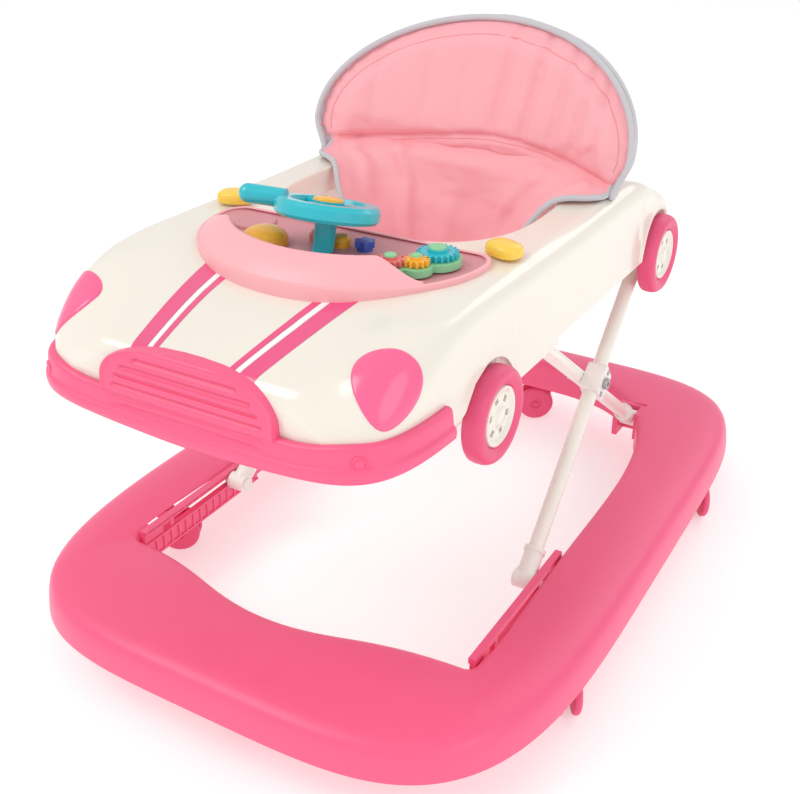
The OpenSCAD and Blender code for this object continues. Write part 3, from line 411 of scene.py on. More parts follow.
def carve(obj, shapes):
    # takes the shapes out of obj: each is a maker from bmesh.ops with its settings
    b = bmesh.new()
    for make, settings in shapes:
        make(b, **settings)
    tool = bpy.data.meshes.new("cuts")
    b.to_mesh(tool)
    b.free()
    knife = bpy.data.objects.new("cuts", tool)
    scene.collection.objects.link(knife)
    cut = obj.modifiers.new("cuts", "BOOLEAN")
    cut.object = knife
    cut.operation = "DIFFERENCE"
    cut.solver = "EXACT"
    done = bpy.data.meshes.new_from_object(obj.evaluated_get(
        bpy.context.evaluated_depsgraph_get()))
    obj.modifiers.clear()
    obj.data = done
    bpy.data.objects.remove(knife)
    done.set_sharp_from_angle(angle=math.radians(40))


def polish(node, material, width=0.5, angle=32.0, sides=2):
    # a CAD piece again, with its edges rounded
    source = nodes[node]
    mesh = source.data.copy()
    mesh.name = node + "Soft"
    obj = bpy.data.objects.new(node + "Soft", mesh)
    scene.collection.objects.link(obj)
    b = bmesh.new()
    b.from_mesh(mesh)
    bmesh.ops.remove_doubles(b, verts=b.verts, dist=2e-6)
    bmesh.ops.dissolve_limit(b, angle_limit=math.radians(0.6), verts=b.verts, edges=b.edges)
    b.to_mesh(mesh)
    b.free()
    settle(obj, material, source["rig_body"], (node,), 0, False)
    bevel = obj.modifiers.new("softEdge", "BEVEL")
    bevel.width = width * mm
    bevel.segments = sides
    bevel.limit_method = "ANGLE"
    bevel.angle_limit = math.radians(angle)
    bevel.use_clamp_overlap = True
    even = obj.modifiers.new("evenShade", "WEIGHTED_NORMAL")
    even.keep_sharp = True
    return obj


# ---- base ring
base = {"length": 796.0, "width": 578.0, "taper": 12.0, "bottom": 54.0, "rise": 40.0,
        "openingWidth": 400.0, "openingFront": 250.0, "openingBow": 38.0,
        "openingRear": 335.0, "frontCorner": 4.1, "rearCorner": 5.8, "shift": 4.5,
        "backCorner": 3.0, "stations": 240}


def superOval(n, t):
    return (signedPower(math.cos(t), 2 / n), signedPower(math.sin(t), 2 / n))


def baseOuter(t):
    x, y = superOval(base["frontCorner" if t > math.pi else "rearCorner"], t)
    return Vector((x * (base["width"] / 2 - base["taper"] * (1 + y) / 2),
                   y * base["length"] / 2 + base["shift"]))


def baseInner(t):
    # nearly square in front with a bowed edge, rounded behind
    w = base["openingWidth"] / 2
    turn = abs(math.degrees(t) - 270)
    side = 1 if math.degrees(t) > 270 else -1
    if turn >= 90:
        x, y = superOval(base["backCorner"], t)
        return Vector((x * w, y * base["openingRear"]))
    frontY = base["openingFront"]
    if turn <= 40:
        f = turn / 40
        return Vector((side * (w - 10) * f,
                       -frontY - base["openingBow"] * math.cos(math.pi / 2 * f) ** 2))
    if turn <= 46:
        a = math.pi / 2 * (turn - 40) / 6
        return Vector((side * (w - 10 + 10 * math.sin(a)), -frontY + 10 - 10 * math.cos(a)))
    return Vector((side * w, -(frontY - 10) * (90 - turn) / 44))


def makeBase():
    top = base["bottom"] + base["rise"]
    skin = [(0.0, 39.0), (-0.004, 40.0), (0.0, 30.0), (0.0, 12.0), (0.006, 6.5), (0.025, 3.0),
            (0.06, 1.3), (0.13, 0.5), (0.24, 0.0), (0.38, 0.0), (0.5, 0.3), (0.6, 0.9),
            (0.7, 1.8), (0.78, 3.0), (0.85, 4.9), (0.9, 7.2), (0.94, 10.6), (0.965, 15.4),
            (0.982, 22.0), (0.992, 30.0), (1.0, 38.6), (1.0, 40.0)]
    lining = [(0.985, 40.0), (0.965, 31.0), (0.94, 22.0), (0.89, 15.5), (0.8, 10.5),
              (0.58, 6.5), (0.3, 4.8), (0.07, 6.0), (0.045, 12.0), (0.045, 40.0)]
    rows = []
    for k in range(base["stations"]):
        t = 2 * math.pi * k / base["stations"]
        a, b = baseInner(t), baseOuter(t)
        row = []
        # the crown dishes towards the opening along the front half of each side
        turn = abs(math.degrees(t) - 270)
        dish = ramp((turn - 18) / 20) * ramp((86 - turn) / 30)
        for i, (s, drop) in enumerate(skin[1:] + lining):
            p = a.lerp(b, s)
            extra = 5.0 * dish * ramp((0.62 - s) / 0.5) if 0.0 < s < 0.62 and drop < 7 else 0
            row.append((p.x, p.y, top - drop - extra))
        rows.append(row)
    points, faces = grid(rows, True, True)
    obj = pieceFrom("baseRing", points, faces, "pink", None, sharp=50)
    cutters = []
    railLow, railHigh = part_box("right_rail")
    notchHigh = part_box("rear_pivot_brackets")[1]
    for side in (1, -1):
        cutters.append(((side * 0.204, (railLow.y + railHigh.y) / 2, 0.0755),
                        (0.02, railHigh.y - railLow.y - 0.036, 0.025)))
        w = 0.0342
        cutters.append(((side * 0.150, (notchHigh.y + 0.245) / 2, 0.075),
                        (w, notchHigh.y - 0.245, 0.060)))
    carve(obj, [(bmesh.ops.create_cube, {"size": 1.0, "matrix": Matrix.Translation(place)
                                         @ Matrix.Diagonal((*size, 1))})
                for place, size in cutters])
    return settle(obj, "pink", "base", ("base_ring",), 38, False)


makeBase()
for node in ("left_rail", "right_rail", "rear_pivot_brackets", "castor_sockets"):
    polish(node, "pink", 0.5)
for k in range(1, 7):
    polish(f"castor_housing_{k}", "pink", 0.7)
    polish(f"castor_discs_{k}", "deepPink", 0.5)
print("base and castors made")

# ---- lift frame
for node in ("inner_tube_left", "inner_tube_right", "outer_tube_left", "outer_tube_right"):
    polish(node, "tube", 0.3)
for node in ("inner_pivot_caps", "slider_caps", "foot_caps", "top_pivot_caps",
             "scissor_blocks"):
    polish(node, "white", 0.9, 30, 3)
for node in ("rear_pivot_pins", "front_crossbar", "scissor_bolts", "foot_pins",
             "rear_crossbar"):
    polish(node, "steel", 0.35)
for node in ("guide_tracks", "wheel_plates"):
    polish(node, "cream", 0.4)
for node in ("sound_box", "battery_cover"):
    polish(node, "white", 0.5)
print("lift frame made")

# ---- car body
body = {"half": 181.0, "front": 365.0, "rear": 262.0, "deck": 423.0, "skirt": 330.0,
        "bonnetFall": 38.0, "tailFall": 62.0, "wall": 3.0, "holeHalf": 132.0,
        "holeLength": 124.0, "holeY": 3.0, "flange": 26.0, "noseCorner": 9.0, "tailRadius": 34.0,
        "bonnetStart": -215.0, "tailStart": 140.0, "holeCorner": 2.7, "archRadius": 48.5,
        "frontWheel": (-197.0, 317.0), "rearWheel": (208.0, 328.0)}


def fender(x, y):
    return 9 * math.exp(-((abs(x) - 150) / 32) ** 2) * ramp((y + 355) / 60) \
        * ramp((body["bonnetStart"] - 10 - y) / 60)


def skinHeight(x, y):
    fall = max(body["bonnetStart"] - y, 0) / (body["front"] + body["bonnetStart"])
    tail = max(y - body["tailStart"], 0) / (body["rear"] - body["tailStart"])
    crown = 2.5 * (1 - min(abs(x) / 60, 1) ** 2) * ramp((-235 - y) / 60)
    return body["deck"] - body["bonnetFall"] * fall ** 1.4 - body["tailFall"] * tail ** 1.6 \
        + fender(x, y) + crown


def archHeight(y, wheel):
    r = body["archRadius"]
    off = y - wheel[0]
    return wheel[1] + math.sqrt(r * r - off * off) if abs(off) < r else 0


def edgeHeight(x, y):
    if abs(x) < 0.9 * body["half"]:
        return body["skirt"]
    return max(body["skirt"], archHeight(y, body["frontWheel"]),
               archHeight(y, body["rearWheel"]))


def nosePoint(x):
    n = body["noseCorner"]
    return (x, -body["front"] * max(0.0, 1 - (abs(x) / body["half"]) ** n) ** (1 / n))


def bodyOutline():
    half = [nosePoint(body["half"] * f) for f in spread(0, 0.8, 24)]
    half += [nosePoint(body["half"] * (1 - 0.2 * (1 - f) ** 2.2)) for f in spread(0.06, 0.93, 26)]
    last = half[-1][1]
    ys = []
    for wheel in (body["frontWheel"], body["rearWheel"]):
        ys += [wheel[0] - body["archRadius"] * math.cos(math.pi * k / 36) for k in range(37)]
    ys += [-140 + 7.2 * k for k in range(41)]
    r = body["tailRadius"]
    for y in sorted(ys):
        if last + 1 < y < body["rear"] - r:
            n = body["noseCorner"]
            x = body["half"] * (1 - (-y / body["front"]) ** n) ** (1 / n) if y < 0 \
                else body["half"]
            half.append((x, y))
    half += [(body["half"] - r + r * math.cos(a), body["rear"] - r + r * math.sin(a))
             for a in spread(0, math.pi / 2, 22)]
    half += [((body["half"] - r) * f, body["rear"]) for f in spread(0.93, 0, 18)]
    return half + [(-x, y) for x, y in half[-2:0:-1]]


def holePoint(p, shrink=0.0):
    t = math.atan2(p[1] - body["holeY"], p[0])
    n = body["holeCorner"]
    r = ((abs(math.cos(t)) / (body["holeHalf"] - shrink)) ** n
         + (abs(math.sin(t)) / (body["holeLength"] - shrink)) ** n) ** (-1 / n)
    return Vector((r * math.cos(t), body["holeY"] + r * math.sin(t)))


def shoulderRadius(p):
    front = ramp((-p[1] - 250) / 70)
    corner = ramp((abs(p[0]) - 95) / 45)
    return lerp(20, lerp(14, 38, corner), front)


def makeShell():
    w = body["wall"]
    rows = []
    for o in bodyOutline():
        o = Vector(o)
        h = holePoint(o)
        span = (o - h).length
        u = (h - o) / span
        low = edgeHeight(*o)
        r = min(shoulderRadius(o), (skinHeight(*o) - low) * 0.8)
        # the skin flares a little round the wheel arches
        near = max(0.0, 1 - min(abs((o - Vector((o.x, c[0]))).length - 46)
                                for c in (body["frontWheel"], body["rearWheel"])) / 30) \
            if abs(o.x) > 160 and low > body["skirt"] + 0.5 else 0.0

        def on(d, drop):
            q = o + u * d
            return (q.x, q.y, skinHeight(q.x, q.y) - drop)

        rim = 2.5
        row = [(h.x, h.y, body["deck"] - body["flange"]),
               (h.x, h.y, body["deck"] - 9), (h.x, h.y, body["deck"] - rim)]
        row += [on(span - rim * (1 - math.cos(a)), rim * (1 - math.sin(a)))
                for a in (0.5, 1.05, math.pi / 2)]
        row += [on(lerp(r, span - rim, f), 0) for f in
                (0.96, 0.9, 0.8, 0.7, 0.6, 0.5, 0.4, 0.3, 0.2, 0.12, 0.05)]
        row += [on(r * (1 - math.cos(a)), r * (1 - math.sin(a)))
                for a in spread(math.pi / 2, 0, 12)]
        top = row[-1][2]
        # side wall: a slight tuck, with a rolled lower edge
        for f in (0.25, 0.5, 0.75, 0.92):
            tuck = 1.2 * math.sin(math.pi * f)
            q = o + u * (tuck - 1.6 * near * f)
            row.append((q.x, q.y, lerp(top, low, f)))
        q = o + u * (-2.6 * near)
        row.append((q.x, q.y, low + 0.8))
        q = o + u * (1.0 - 2.0 * near)
        row.append((q.x, q.y, low))
        q = o + u * (w - 0.6)
        row.append((q.x, q.y, low))
        q = o + u * w
        row.append((q.x, q.y, low + 0.8))
        row += [on(w + (r - w) * (1 - math.cos(a)), w + (r - w) * (1 - math.sin(a)))
                for a in spread(0, math.pi / 2, 5)]
        row += [on(lerp(r, span - w, f), w) for f in (0.3, 0.65, 1.0)]
        q = o + u * (span - w)
        row.append((q.x, q.y, body["deck"] - body["flange"]))
        rows.append(row)
    points, faces = grid(rows, True, True)
    return pieceFrom("bodyShell", points, faces, "cream", "car_body", ("body_shell",),
                     "cream_plastic", 42)


shell = makeShell()
skinTree = BVHTree.FromPolygons([v.co.copy() for v in shell.data.vertices],
                                [tuple(p.vertices) for p in shell.data.polygons])


def onSkin(x, y, lift=0.0):
    # point in millimetres on the shell's upper side, lifted along the surface
    hit, normal, _, _ = skinTree.ray_cast(Vector((x, y, 700)) * mm, Vector((0, 0, -1)))
    return (hit + normal * lift * mm) / mm


def drape(origin, right, up, flat, lift, depth=80.0):
    # flat points (right, up, extra lift) dropped onto the shell along the patch's normal
    normal = right.cross(up).normalized()
    out = []
    for a, b, extra in flat:
        start = (origin + right * a + up * b + normal * depth) * mm
        hit, n, _, _ = skinTree.ray_cast(start, -normal)
        out.append((hit + n * (lift + extra) * mm) / mm)
    return out


def makeArchLiners():
    # moulded half-round liners behind the wheels
    parts = []
    for side in (1, -1):
        for y, z in (body["frontWheel"], body["rearWheel"]):
            rows = []
            for a in spread(math.radians(14), math.radians(166), 40):
                row = []
                for x, r in ((178.4, 47.9), (160, 46.8), (152, 46.8), (152, 48.2), (160, 48.2),
                             (178.4, 49.2)):
                    row.append((side * x, y + r * math.cos(a), z + r * math.sin(a)))
                rows.append(row)
            points, faces = grid(rows, False, True)
            parts.append((points, capEnds(faces, 40, 6)))
    points, faces = joinParts(parts)
    pieceFrom("archLiners", points, faces, "cream", "car_body", slotName="cream_plastic")


makeArchLiners()
print("body made")

# ---- toy wheels
wheels = {"radius": 43.5, "hub": 27.5, "width": 20.0, "inside": 174.8, "slots": 6,
          "window": 4.2}


def makeWheels():
    r, h, w = wheels["radius"], wheels["hub"], wheels["width"]
    tyre = [(h, 1), (r - 6, 0), (r - 2.4, 0.9), (r - 0.6, 2.8), (r, 6), (r, 11), (r - 0.5, 14),
            (r - 1.8, 16.8), (r - 4, 18.9), (r - 7, 19.8), (r - 10, 19.2), (r - 12.5, 17.6),
            (h + 1.6, 17.2), (h + 0.6, 16.4), (h, 15)]
    tyres, hubs = [], []
    for side in (1, -1):
        for y, z in (body["frontWheel"], body["rearWheel"]):
            at, axis = (side * wheels["inside"], y, z), (side, 0, 0)
            tyres.append(lathe(tyre, at, axis, 96))
            hub = [(0.01, 1), (h - 0.3, 1), (h - 0.2, 15.6), (h - 1.0, 17.4), (h - 2.6, 18.0),
                   (h - 4.2, 17.3), (h - 6, 15.4), (20, 14.6), (11, 15.0), (8.6, 16.2),
                   (7.2, 17.6), (5.4, 18.1), (0.01, 18.1)]
            hubs.append(lathe(hub, at, axis, 96))
    points, faces = joinParts(tyres)
    pieceFrom("tyreBands", points, faces, "deepPink", "car_body", ("tyres",), "pink_plastic")
    points, faces = joinParts(hubs)
    obj = pieceFrom("wheelCovers", points, faces, "cream", "car_body", ("wheel_hubs",),
                    "cream_plastic")
    # spoke windows, cut through the covers
    windows = []
    for side in (1, -1):
        for y, z in (body["frontWheel"], body["rearWheel"]):
            for k in range(wheels["slots"]):
                a = 2 * math.pi * k / wheels["slots"] + 0.3
                m = Matrix.Translation(Vector((side * (wheels["inside"] + 15), y, z)) * mm) \
                    @ Matrix.Rotation(a * side, 4, "X") \
                    @ Matrix.Translation(Vector((0, 0, 16.2)) * mm)
                windows.append((bmesh.ops.create_cone, {
                    "cap_ends": True, "segments": 4, "radius1": wheels["window"] * mm,
                    "radius2": wheels["window"] * mm, "depth": 13 * mm,
                    "matrix": m @ Matrix.Rotation(math.pi / 2, 4, "Y")
                    @ Matrix.Rotation(math.pi / 4, 4, "Z") @ Matrix.Diagonal((1.0, 1.0, 1, 1))}))
    carve(obj, windows)


makeWheels()

# ---- bumper, grille, lamps and stripes
bumper = {"low": 318.0, "high": 353.0, "endX": 0.993}


def noseFrame(x):
    n = body["noseCorner"]
    p = nosePoint(x)
    g = Vector((math.copysign((abs(x) / body["half"]) ** (n - 1), x) / body["half"],
                -(abs(p[1]) / body["front"]) ** (n - 1) / body["front"]))
    return Vector(p), g.normalized()


def makeBumper():
    profile = [(-0.6, 0.02), (-0.6, 0.985), (1.4, 1.0), (3.4, 0.99), (5.0, 0.955), (5.8, 0.9),
               (6.3, 0.82), (6.6, 0.75), (6.8, 0.68), (7.0, 0.61), (7.2, 0.54), (7.5, 0.48),
               (8.3, 0.435), (9.4, 0.405), (10.0, 0.36), (10.3, 0.28), (10.2, 0.18),
               (9.6, 0.08), (8.2, 0.02), (6.0, 0.0), (1.0, 0.0)]
    fs = spread(0, 0.75, 34) + [1 - 0.25 * (1 - f) ** 2.4 for f in spread(0.04, 0.9, 30)]
    half = [f * body["half"] * bumper["endX"] for f in fs]
    rows = []
    for x in [-v for v in half[::-1]] + half[1:]:
        p, n = noseFrame(x)
        far = abs(x)
        low = bumper["low"] + 5 * (far / 101) ** 1.6
        high = bumper["high"] - 2 + 8 * ramp((far - 100) / 55)
        row = []
        for d, f in profile:
            z = lerp(low, high, f)
            groove = 0.0
            for gz, reach in ((346.0, 84.0), (338.5, 80.0)):
                groove = max(groove, ramp((3.0 - abs(z - gz)) / 2.2)
                             * ramp((reach - far) / 10)) if d > 5 else groove
            q = p + n * (d - 1.8 * groove)
            row.append((q.x, q.y, z))
        rows.append(row)
    points, faces = grid(rows, False, True)
    pieceFrom("bumperBar", points, capEnds(faces, len(rows), len(profile)), "pink", "car_body",
              ("front_bumper",), "pink_plastic", 50)
    parts = []
    for side in (1, -1):
        p, n = noseFrame(side * 0.845 * body["half"])
        at = (p.x + n.x * 5, p.y + n.y * 5, 345.5)
        ring = [(0.01, 0), (6.2, 0), (6.2, 2.6), (5.7, 3.1), (5.0, 3.1), (4.6, 2.5), (4.4, 2.3),
                (3.9, 2.6), (2.6, 3.1), (0.01, 3.3)]
        parts.append(lathe(ring, at, (n.x, n.y, 0), 40))
    points, faces = joinParts(parts)
    pieceFrom("bumperStuds", points, faces, "pink", "car_body", ("bumper_buttons",),
              "pink_plastic", 45)


grilleShape = {"half": 88.0, "low": 349.0, "high": 392.0, "slotStep": 8.3}


def makeGrille():
    g = grilleShape

    def halfWidth(z):
        f = min(max((z - g["low"] - 6) / (g["high"] - g["low"] - 6), 0), 1)
        return g["half"] * (1 - f ** 3.2) ** 0.42 if f < 1 else 0

    zs = spread(g["low"], g["high"] - 0.05, 56)
    us = spread(-1, 1, 121)
    front, back = [], []
    for z in zs:
        w = max(halfWidth(z), 7.0)
        frontRow, backRow = [], []
        for u in us:
            x = u * w
            lean = -body["front"] - 6.2 + 6.0 * ((z - g["low"]) / (g["high"] - g["low"])) ** 2.2
            gap = min(w - abs(x), (g["high"] - z) * 1.0 + 0.02)
            edge = ramp(gap / 1.6)
            rim = 0.8 * ramp(gap / 1.2) * ramp((5.6 - gap) / 1.6)
            slot = 0.0
            for k in range(4):
                sz = g["low"] + 7.0 + g["slotStep"] * k
                reach = halfWidth(sz + 1) - 11 - 3 * k
                slot = max(slot, ramp((2.6 - abs(z - sz)) / 1.5) * ramp((reach - abs(x)) / 3.5))
            y = lean - rim + 2.6 * slot + 2.2 * (1 - edge)
            frontRow.append((x, y, z))
            backRow.append((x, -body["front"] + 4 + max(0, z - 380) * 1.0, z))
        front.append(frontRow)
        back.append(backRow)
    rows = [f + b[::-1] for f, b in zip(front, back)]
    points, faces = grid(rows, False, True)
    pieceFrom("grillePanel", points, capEnds(faces, len(rows), len(rows[0])), "pink",
              "car_body", ("grille",), "pink_plastic", 50)


lamps = {"place": (156.0, -322.0, 389.0), "facing": (0.42, -0.62, 0.66), "wide": 25.5,
         "tall": 31.5, "thick": 1.4}


def makeLamps():
    parts = []
    for side in (1, -1):
        at = Vector((side * lamps["place"][0], *lamps["place"][1:]))
        n = Vector((side * lamps["facing"][0], *lamps["facing"][1:])).normalized()
        up = (Vector((side * 0.12, 0, 1)) - n * n.dot(Vector((side * 0.12, 0, 1)))).normalized()
        right = up.cross(n)
        rings = []
        for k, f in enumerate((1.0, 0.985, 0.95, 0.88, 0.76, 0.6, 0.4, 0.2, 0.02)):
            flat = []
            for j in range(72):
                t = 2 * math.pi * j / 72
                c, s = math.cos(t), math.sin(t)
                narrow = 1 + 0.34 * s
                bulge = (0.0, 0.55, 0.95, 1.0, 1.0, 1.0, 1.0, 1.0, 1.0)[k]
                low = max(0.0, -s)
                emboss = 0.45 * math.exp(-((f - 0.62) / 0.035) ** 2) * ramp(low * 2 - 0.3)
                flat.append((side * c * lamps["wide"] * narrow * f, s * lamps["tall"] * f,
                             lamps["thick"] * bulge + emboss))
            rings.append(drape(at, right * side, up, flat, 0.1) if side > 0
                         else drape(at, right * side * -1, up, [(-a, b, e) for a, b, e in flat],
                                    0.1))
        points, faces = grid(rings, False, True)
        faces.append(tuple(range(8 * 72, 9 * 72)))
        parts.append((points, faces))
    points, faces = joinParts(parts)
    pieceFrom("lampLenses", points, faces, "lamp", "car_body", ("headlights",), "pink_plastic",
              60, False)


stripes = {"frontY": -361.0, "backY": -232.0, "drift": 9.0,
           "bands": (("stripe", 0.0, 0.58), ("film", 0.6, 0.77), ("stripe", 0.79, 1.0))}


def makeStripes():
    for material in ("stripe", "film"):
        parts = []
        for side in (1, -1):
            for kind, fa, fb in stripes["bands"]:
                if kind != material:
                    continue
                rows = []
                for i in range(61):
                    f = i / 60
                    y = lerp(stripes["frontY"], stripes["backY"], f)
                    bend = math.sin(math.pi * f) * 2.0
                    outer = lerp(61, 82, f ** 1.15) + bend
                    inner = lerp(34.5, 47.5, f ** 1.1) + bend
                    row = [onSkin(side * lerp(outer, inner, lerp(fa, fb, j / 4))
                                  + stripes["drift"] * f, y, 0.22) for j in range(5)]
                    rows.append(row)
                points, faces = grid(rows)
                parts.append((points, faces if side > 0 else [f[::-1] for f in faces]))
        points, faces = joinParts(parts)
        pieceFrom("hoodStripe" + ("Pink" if material == "stripe" else "White"), points, faces,
                  material, "car_body", ("hood_stripes",) if material == "stripe" else (),
                  "pink_plastic" if material == "stripe" else "cream_plastic", 0, False)


makeBumper()
makeGrille()
makeLamps()
makeStripes()
print("front end made")

# ---- play tray
tray = {"half": 140.0, "side": 10.5, "centreY": -150.0, "reach": 119.0, "back": -127.0,
        "floor": 427.0, "cowlHeight": 17.0, "cowlLean": 24.0, "cowlThick": 3.2,
        "rest": (-86.0, -157.0), "column": (12.0, -190.0, 427.0), "columnLean": 15.0}


def trayEdge(n=160, inset=0.0):
    # outline from the left end round the bowed front to the right end and back
    half, reach, side = tray["half"] - inset, tray["reach"] - inset, tray["side"]
    out = [(side + half * math.cos(a), tray["centreY"] + reach * math.sin(a))
           for a in spread(math.pi, 2 * math.pi, n)]
    rise = tray["back"] - inset - tray["centreY"]
    out += [(side + half - 16 + 16 * math.cos(a), tray["centreY"] + rise * math.sin(a))
            for a in spread(0.12, math.pi / 2, 10)]
    out += [(side - half + 16 - 16 * math.cos(a), tray["centreY"] + rise * math.sin(a))
            for a in spread(math.pi / 2, 0.12, 10)]
    return out


def skinBelow(x, y):
    hit, _, _, _ = skinTree.ray_cast(Vector((x, y, 700)) * mm, Vector((0, 0, -1)))
    return hit.z / mm if hit else body["deck"]


def makeTray():
    edge = trayEdge()
    n = len(edge)
    floorZ = tray["floor"]
    rings = []
    for inset, z in ((3.2, floorZ - 0.2), (1.4, floorZ + 0.4), (0.3, floorZ), (0.0, floorZ - 1.2)):
        rings.append([(x, y, z) for x, y in trayEdge(inset=inset)])
    lower = []
    for k, (x, y) in enumerate(edge):
        low = min(skinBelow(x, y) - 0.5, floorZ - 2.5)
        lower.append((x, y, max(low, floorZ - 14)))
    rings.append(lower)
    rings.append([(tray["side"] + (x - tray["side"]) * 0.985, y * 0.99 - 1.5, z)
                  for x, y, z in lower])
    points, faces = grid(rings, False, True)
    skirt = pieceFrom("traySkirt", points, [f[::-1] for f in faces], "palePink", "car_body",
                      slotName="pale_pink_plastic", sharp=45, outward=False)
    skirt.modifiers.new("wall", "SOLIDIFY").thickness = -1.0 * mm
    # dished floor with a soft fillet to the rim
    rings = []
    for inset, z in ((2.6, 0.2), (4.0, -0.5), (6.0, -1.2), (9.0, -1.5), (40.0, -1.5),
                     (80.0, -1.5), (112.0, -1.5)):
        wide, deep = 1 - inset / tray["half"], 1 - inset / tray["reach"]
        rings.append([(lerp(tray["side"], x, wide), lerp(tray["centreY"], y, deep), floorZ + z)
                      for x, y in edge])
    points, faces = grid(rings, False, True)
    faces.append(tuple(range(6 * n, 7 * n)))
    pieceFrom("trayFloor", points, [f[::-1] for f in faces], "floorPink", "car_body",
              ("tray_base",), "dusty_pink_plastic", 0, False)
    points, faces = lathe([(0.01, 2.2), (15.5, 2.2), (16.6, 2.6), (17.6, 2.8), (18.8, 2.6),
                           (19.8, 1.6), (20.0, 0.2)], (*tray["rest"], floorZ - 1.7), (0, 0, 1), 72)
    pieceFrom("cupRest", points, faces, "floorPink", "car_body",
              slotName="dusty_pink_plastic")


def makeCowl():
    # leaning visor along the bowed front, full on the left and cut away on a slant at the ends
    c = tray
    rows = []
    for a in spread(math.radians(187), math.radians(327), 150):
        deg = math.degrees(a)
        h = c["cowlHeight"] * ramp((deg - 186) / 30) * ramp((328 - deg) / 18) + 1.8
        s = c["cowlLean"] * h / c["cowlHeight"]
        t = c["cowlThick"]

        def at(inset, z):
            return (c["side"] + (c["half"] - inset) * math.cos(a),
                    c["centreY"] + (c["reach"] - inset) * math.sin(a), c["floor"] + z)

        row = [at(-0.6, -2.5), at(-0.8, -0.6), at(0.2, 0.6), at(1.6, 1.0), at(2.6, 1.8)]
        for f in (0.2, 0.4, 0.6, 0.8, 0.94):
            row.append(at(lerp(2.6, s, f) - 2.2 * math.sin(math.pi * f) * h / 19,
                          lerp(1.8, h, f)))
        row += [at(s + 0.3, h + 0.2), at(s + 1.4, h + 0.8), at(s + 2.8, h + 0.3),
                at(s + 3.3, h - 0.8)]
        for f in (0.8, 0.5, 0.25, 0.0):
            row.append(at(lerp(2.6, s, f) - 2.2 * math.sin(math.pi * f) * h / 19 + t,
                          lerp(-1.6, h, f) - 0.5))
        rows.append(row)
    points, faces = grid(rows, False, True)
    pieceFrom("trayCowl", points, capEnds(faces, len(rows), len(rows[0])), "palePink",
              "car_body", ("tray_cowl",), "pale_pink_plastic", 50)


def cutDeck():
    # openings that the buttons' stems pass through
    holes = []
    for node in ("star_button", "yellow_button", "red_button", "dome_button"):
        low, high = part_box(node)
        holes.append((bmesh.ops.create_cone, {
            "cap_ends": True, "segments": 48, "radius1": (high.x - low.x) / 2 + 0.4 * mm,
            "radius2": (high.x - low.x) / 2 + 0.4 * mm, "depth": 30 * mm,
            "matrix": Matrix.Translation(((low.x + high.x) / 2, (low.y + high.y) / 2,
                                          body["deck"] * mm))}))
    carve(shell, holes)


makeTray()
makeCowl()
cutDeck()
# white trim line along the tray's back edge
tube("trayTrim", [(x, y + 1.2, tray["floor"] - 2.0) for x, y in
                  [(tray["side"] + f * 122, tray["back"]) for f in spread(-1, 1, 30)]],
     1.6, "white", "car_body", slotName="white_plastic")
print("tray made")

# ---- toys
for node, material in (("steering_column", "teal"), ("steering_wheel", "teal"),
                       ("gear_large", "teal"), ("gear_small", "yellow"),
                       ("gear_medium", "red"), ("star_button", "blue"),
                       ("yellow_button", "yellow"), ("red_button", "red"),
                       ("dome_button", "yellow"), ("gear_pod", "mint")):
    big = {"steering_wheel": 2.2, "gear_pod": 2.0, "star_button": 1.2, "dome_button": 1.0}
    polish(node, material, big.get(node, 0.5), 28, 4)


latch = {"half": (17.6, 12.6), "square": 2.7, "turn": 18.0,
         "rise": ((0.0, 0.97), (0.6, 1.0), (5.0, 1.0), (7.4, 0.97), (9.2, 0.88), (10.4, 0.74),
                  (11.2, 0.55), (11.6, 0.3), (11.7, 0.02))}


def makeLatches():
    # smooth domed buttons: a squared oval that closes in towards its crown
    for side in ("left", "right"):
        low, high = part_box("latch_" + side)
        x, y = (low.x + high.x) / 2 / mm, (low.y + high.y) / 2 / mm
        turn = math.radians(-math.copysign(latch["turn"], x))
        rows = []
        for z, share in latch["rise"]:
            row = []
            for k in range(64):
                a, b = superOval(latch["square"], 2 * math.pi * k / 64)
                a, b = a * latch["half"][0] * share, b * latch["half"][1] * share
                row.append((x + a * math.cos(turn) - b * math.sin(turn),
                            y + a * math.sin(turn) + b * math.cos(turn), low.z / mm + z))
            rows.append(row)
        points, faces = grid(rows, False, True)
        pieceFrom("latchButton" + side.title(), points, capEnds(faces, len(rows), 64), "sunny",
                  f"latch_{side}_key", (f"latch_{side}",), "yellow_plastic", 60)


def makeGearCaps():
    for name, bodyName, r in (("gear_large", "toy_gear_large", 7.5),
                              ("gear_small", "toy_gear_small", 4.6),
                              ("gear_medium", "toy_gear_medium", 5.6)):
        low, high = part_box(name)
        at = ((low.x + high.x) / 2 / mm, (low.y + high.y) / 2 / mm, high.z / mm)
        profile = [(0.01, -0.6), (r, -0.6), (r, 0.8), (r - 0.5, 1.5), (r - 1.2, 1.8),
                   (r * 0.5, 1.7), (0.01, 1.9)]
        points, faces = lathe(profile, at, (0, 0, 1), 40)
        pieceFrom(name + "Cap", points, faces, "mint", bodyName, slotName="mint_plastic")


def makeHubCap():
    # raised badge plate on the steering wheel
    lean = math.radians(tray["columnLean"])
    axis = Vector((0, math.sin(lean), math.cos(lean)))
    at = Vector(tray["column"]) + axis * 43.6
    profile = [(0.01, -1), (13.2, -1), (13.2, 1.2), (12.4, 2.2), (11.2, 2.6), (6, 3.4),
               (0.01, 3.8)]
    points, faces = lathe(profile, at, axis, 48)
    pieceFrom("hornCap", points, faces, "yellow", "steering", slotName="yellow_plastic")


makeLatches()
makeGearCaps()
makeHubCap()
print("toys made")

# ---- seat
seat = {"half": 184.0, "height": 146.0, "baseY": 115.0, "lean": 0.36, "wrap": 45.0,
        "widest": 38.0, "pad": 20.0, "board": 5.0, "voxel": 5.0, "pressure": 4.0,
        "swell": 12.0}


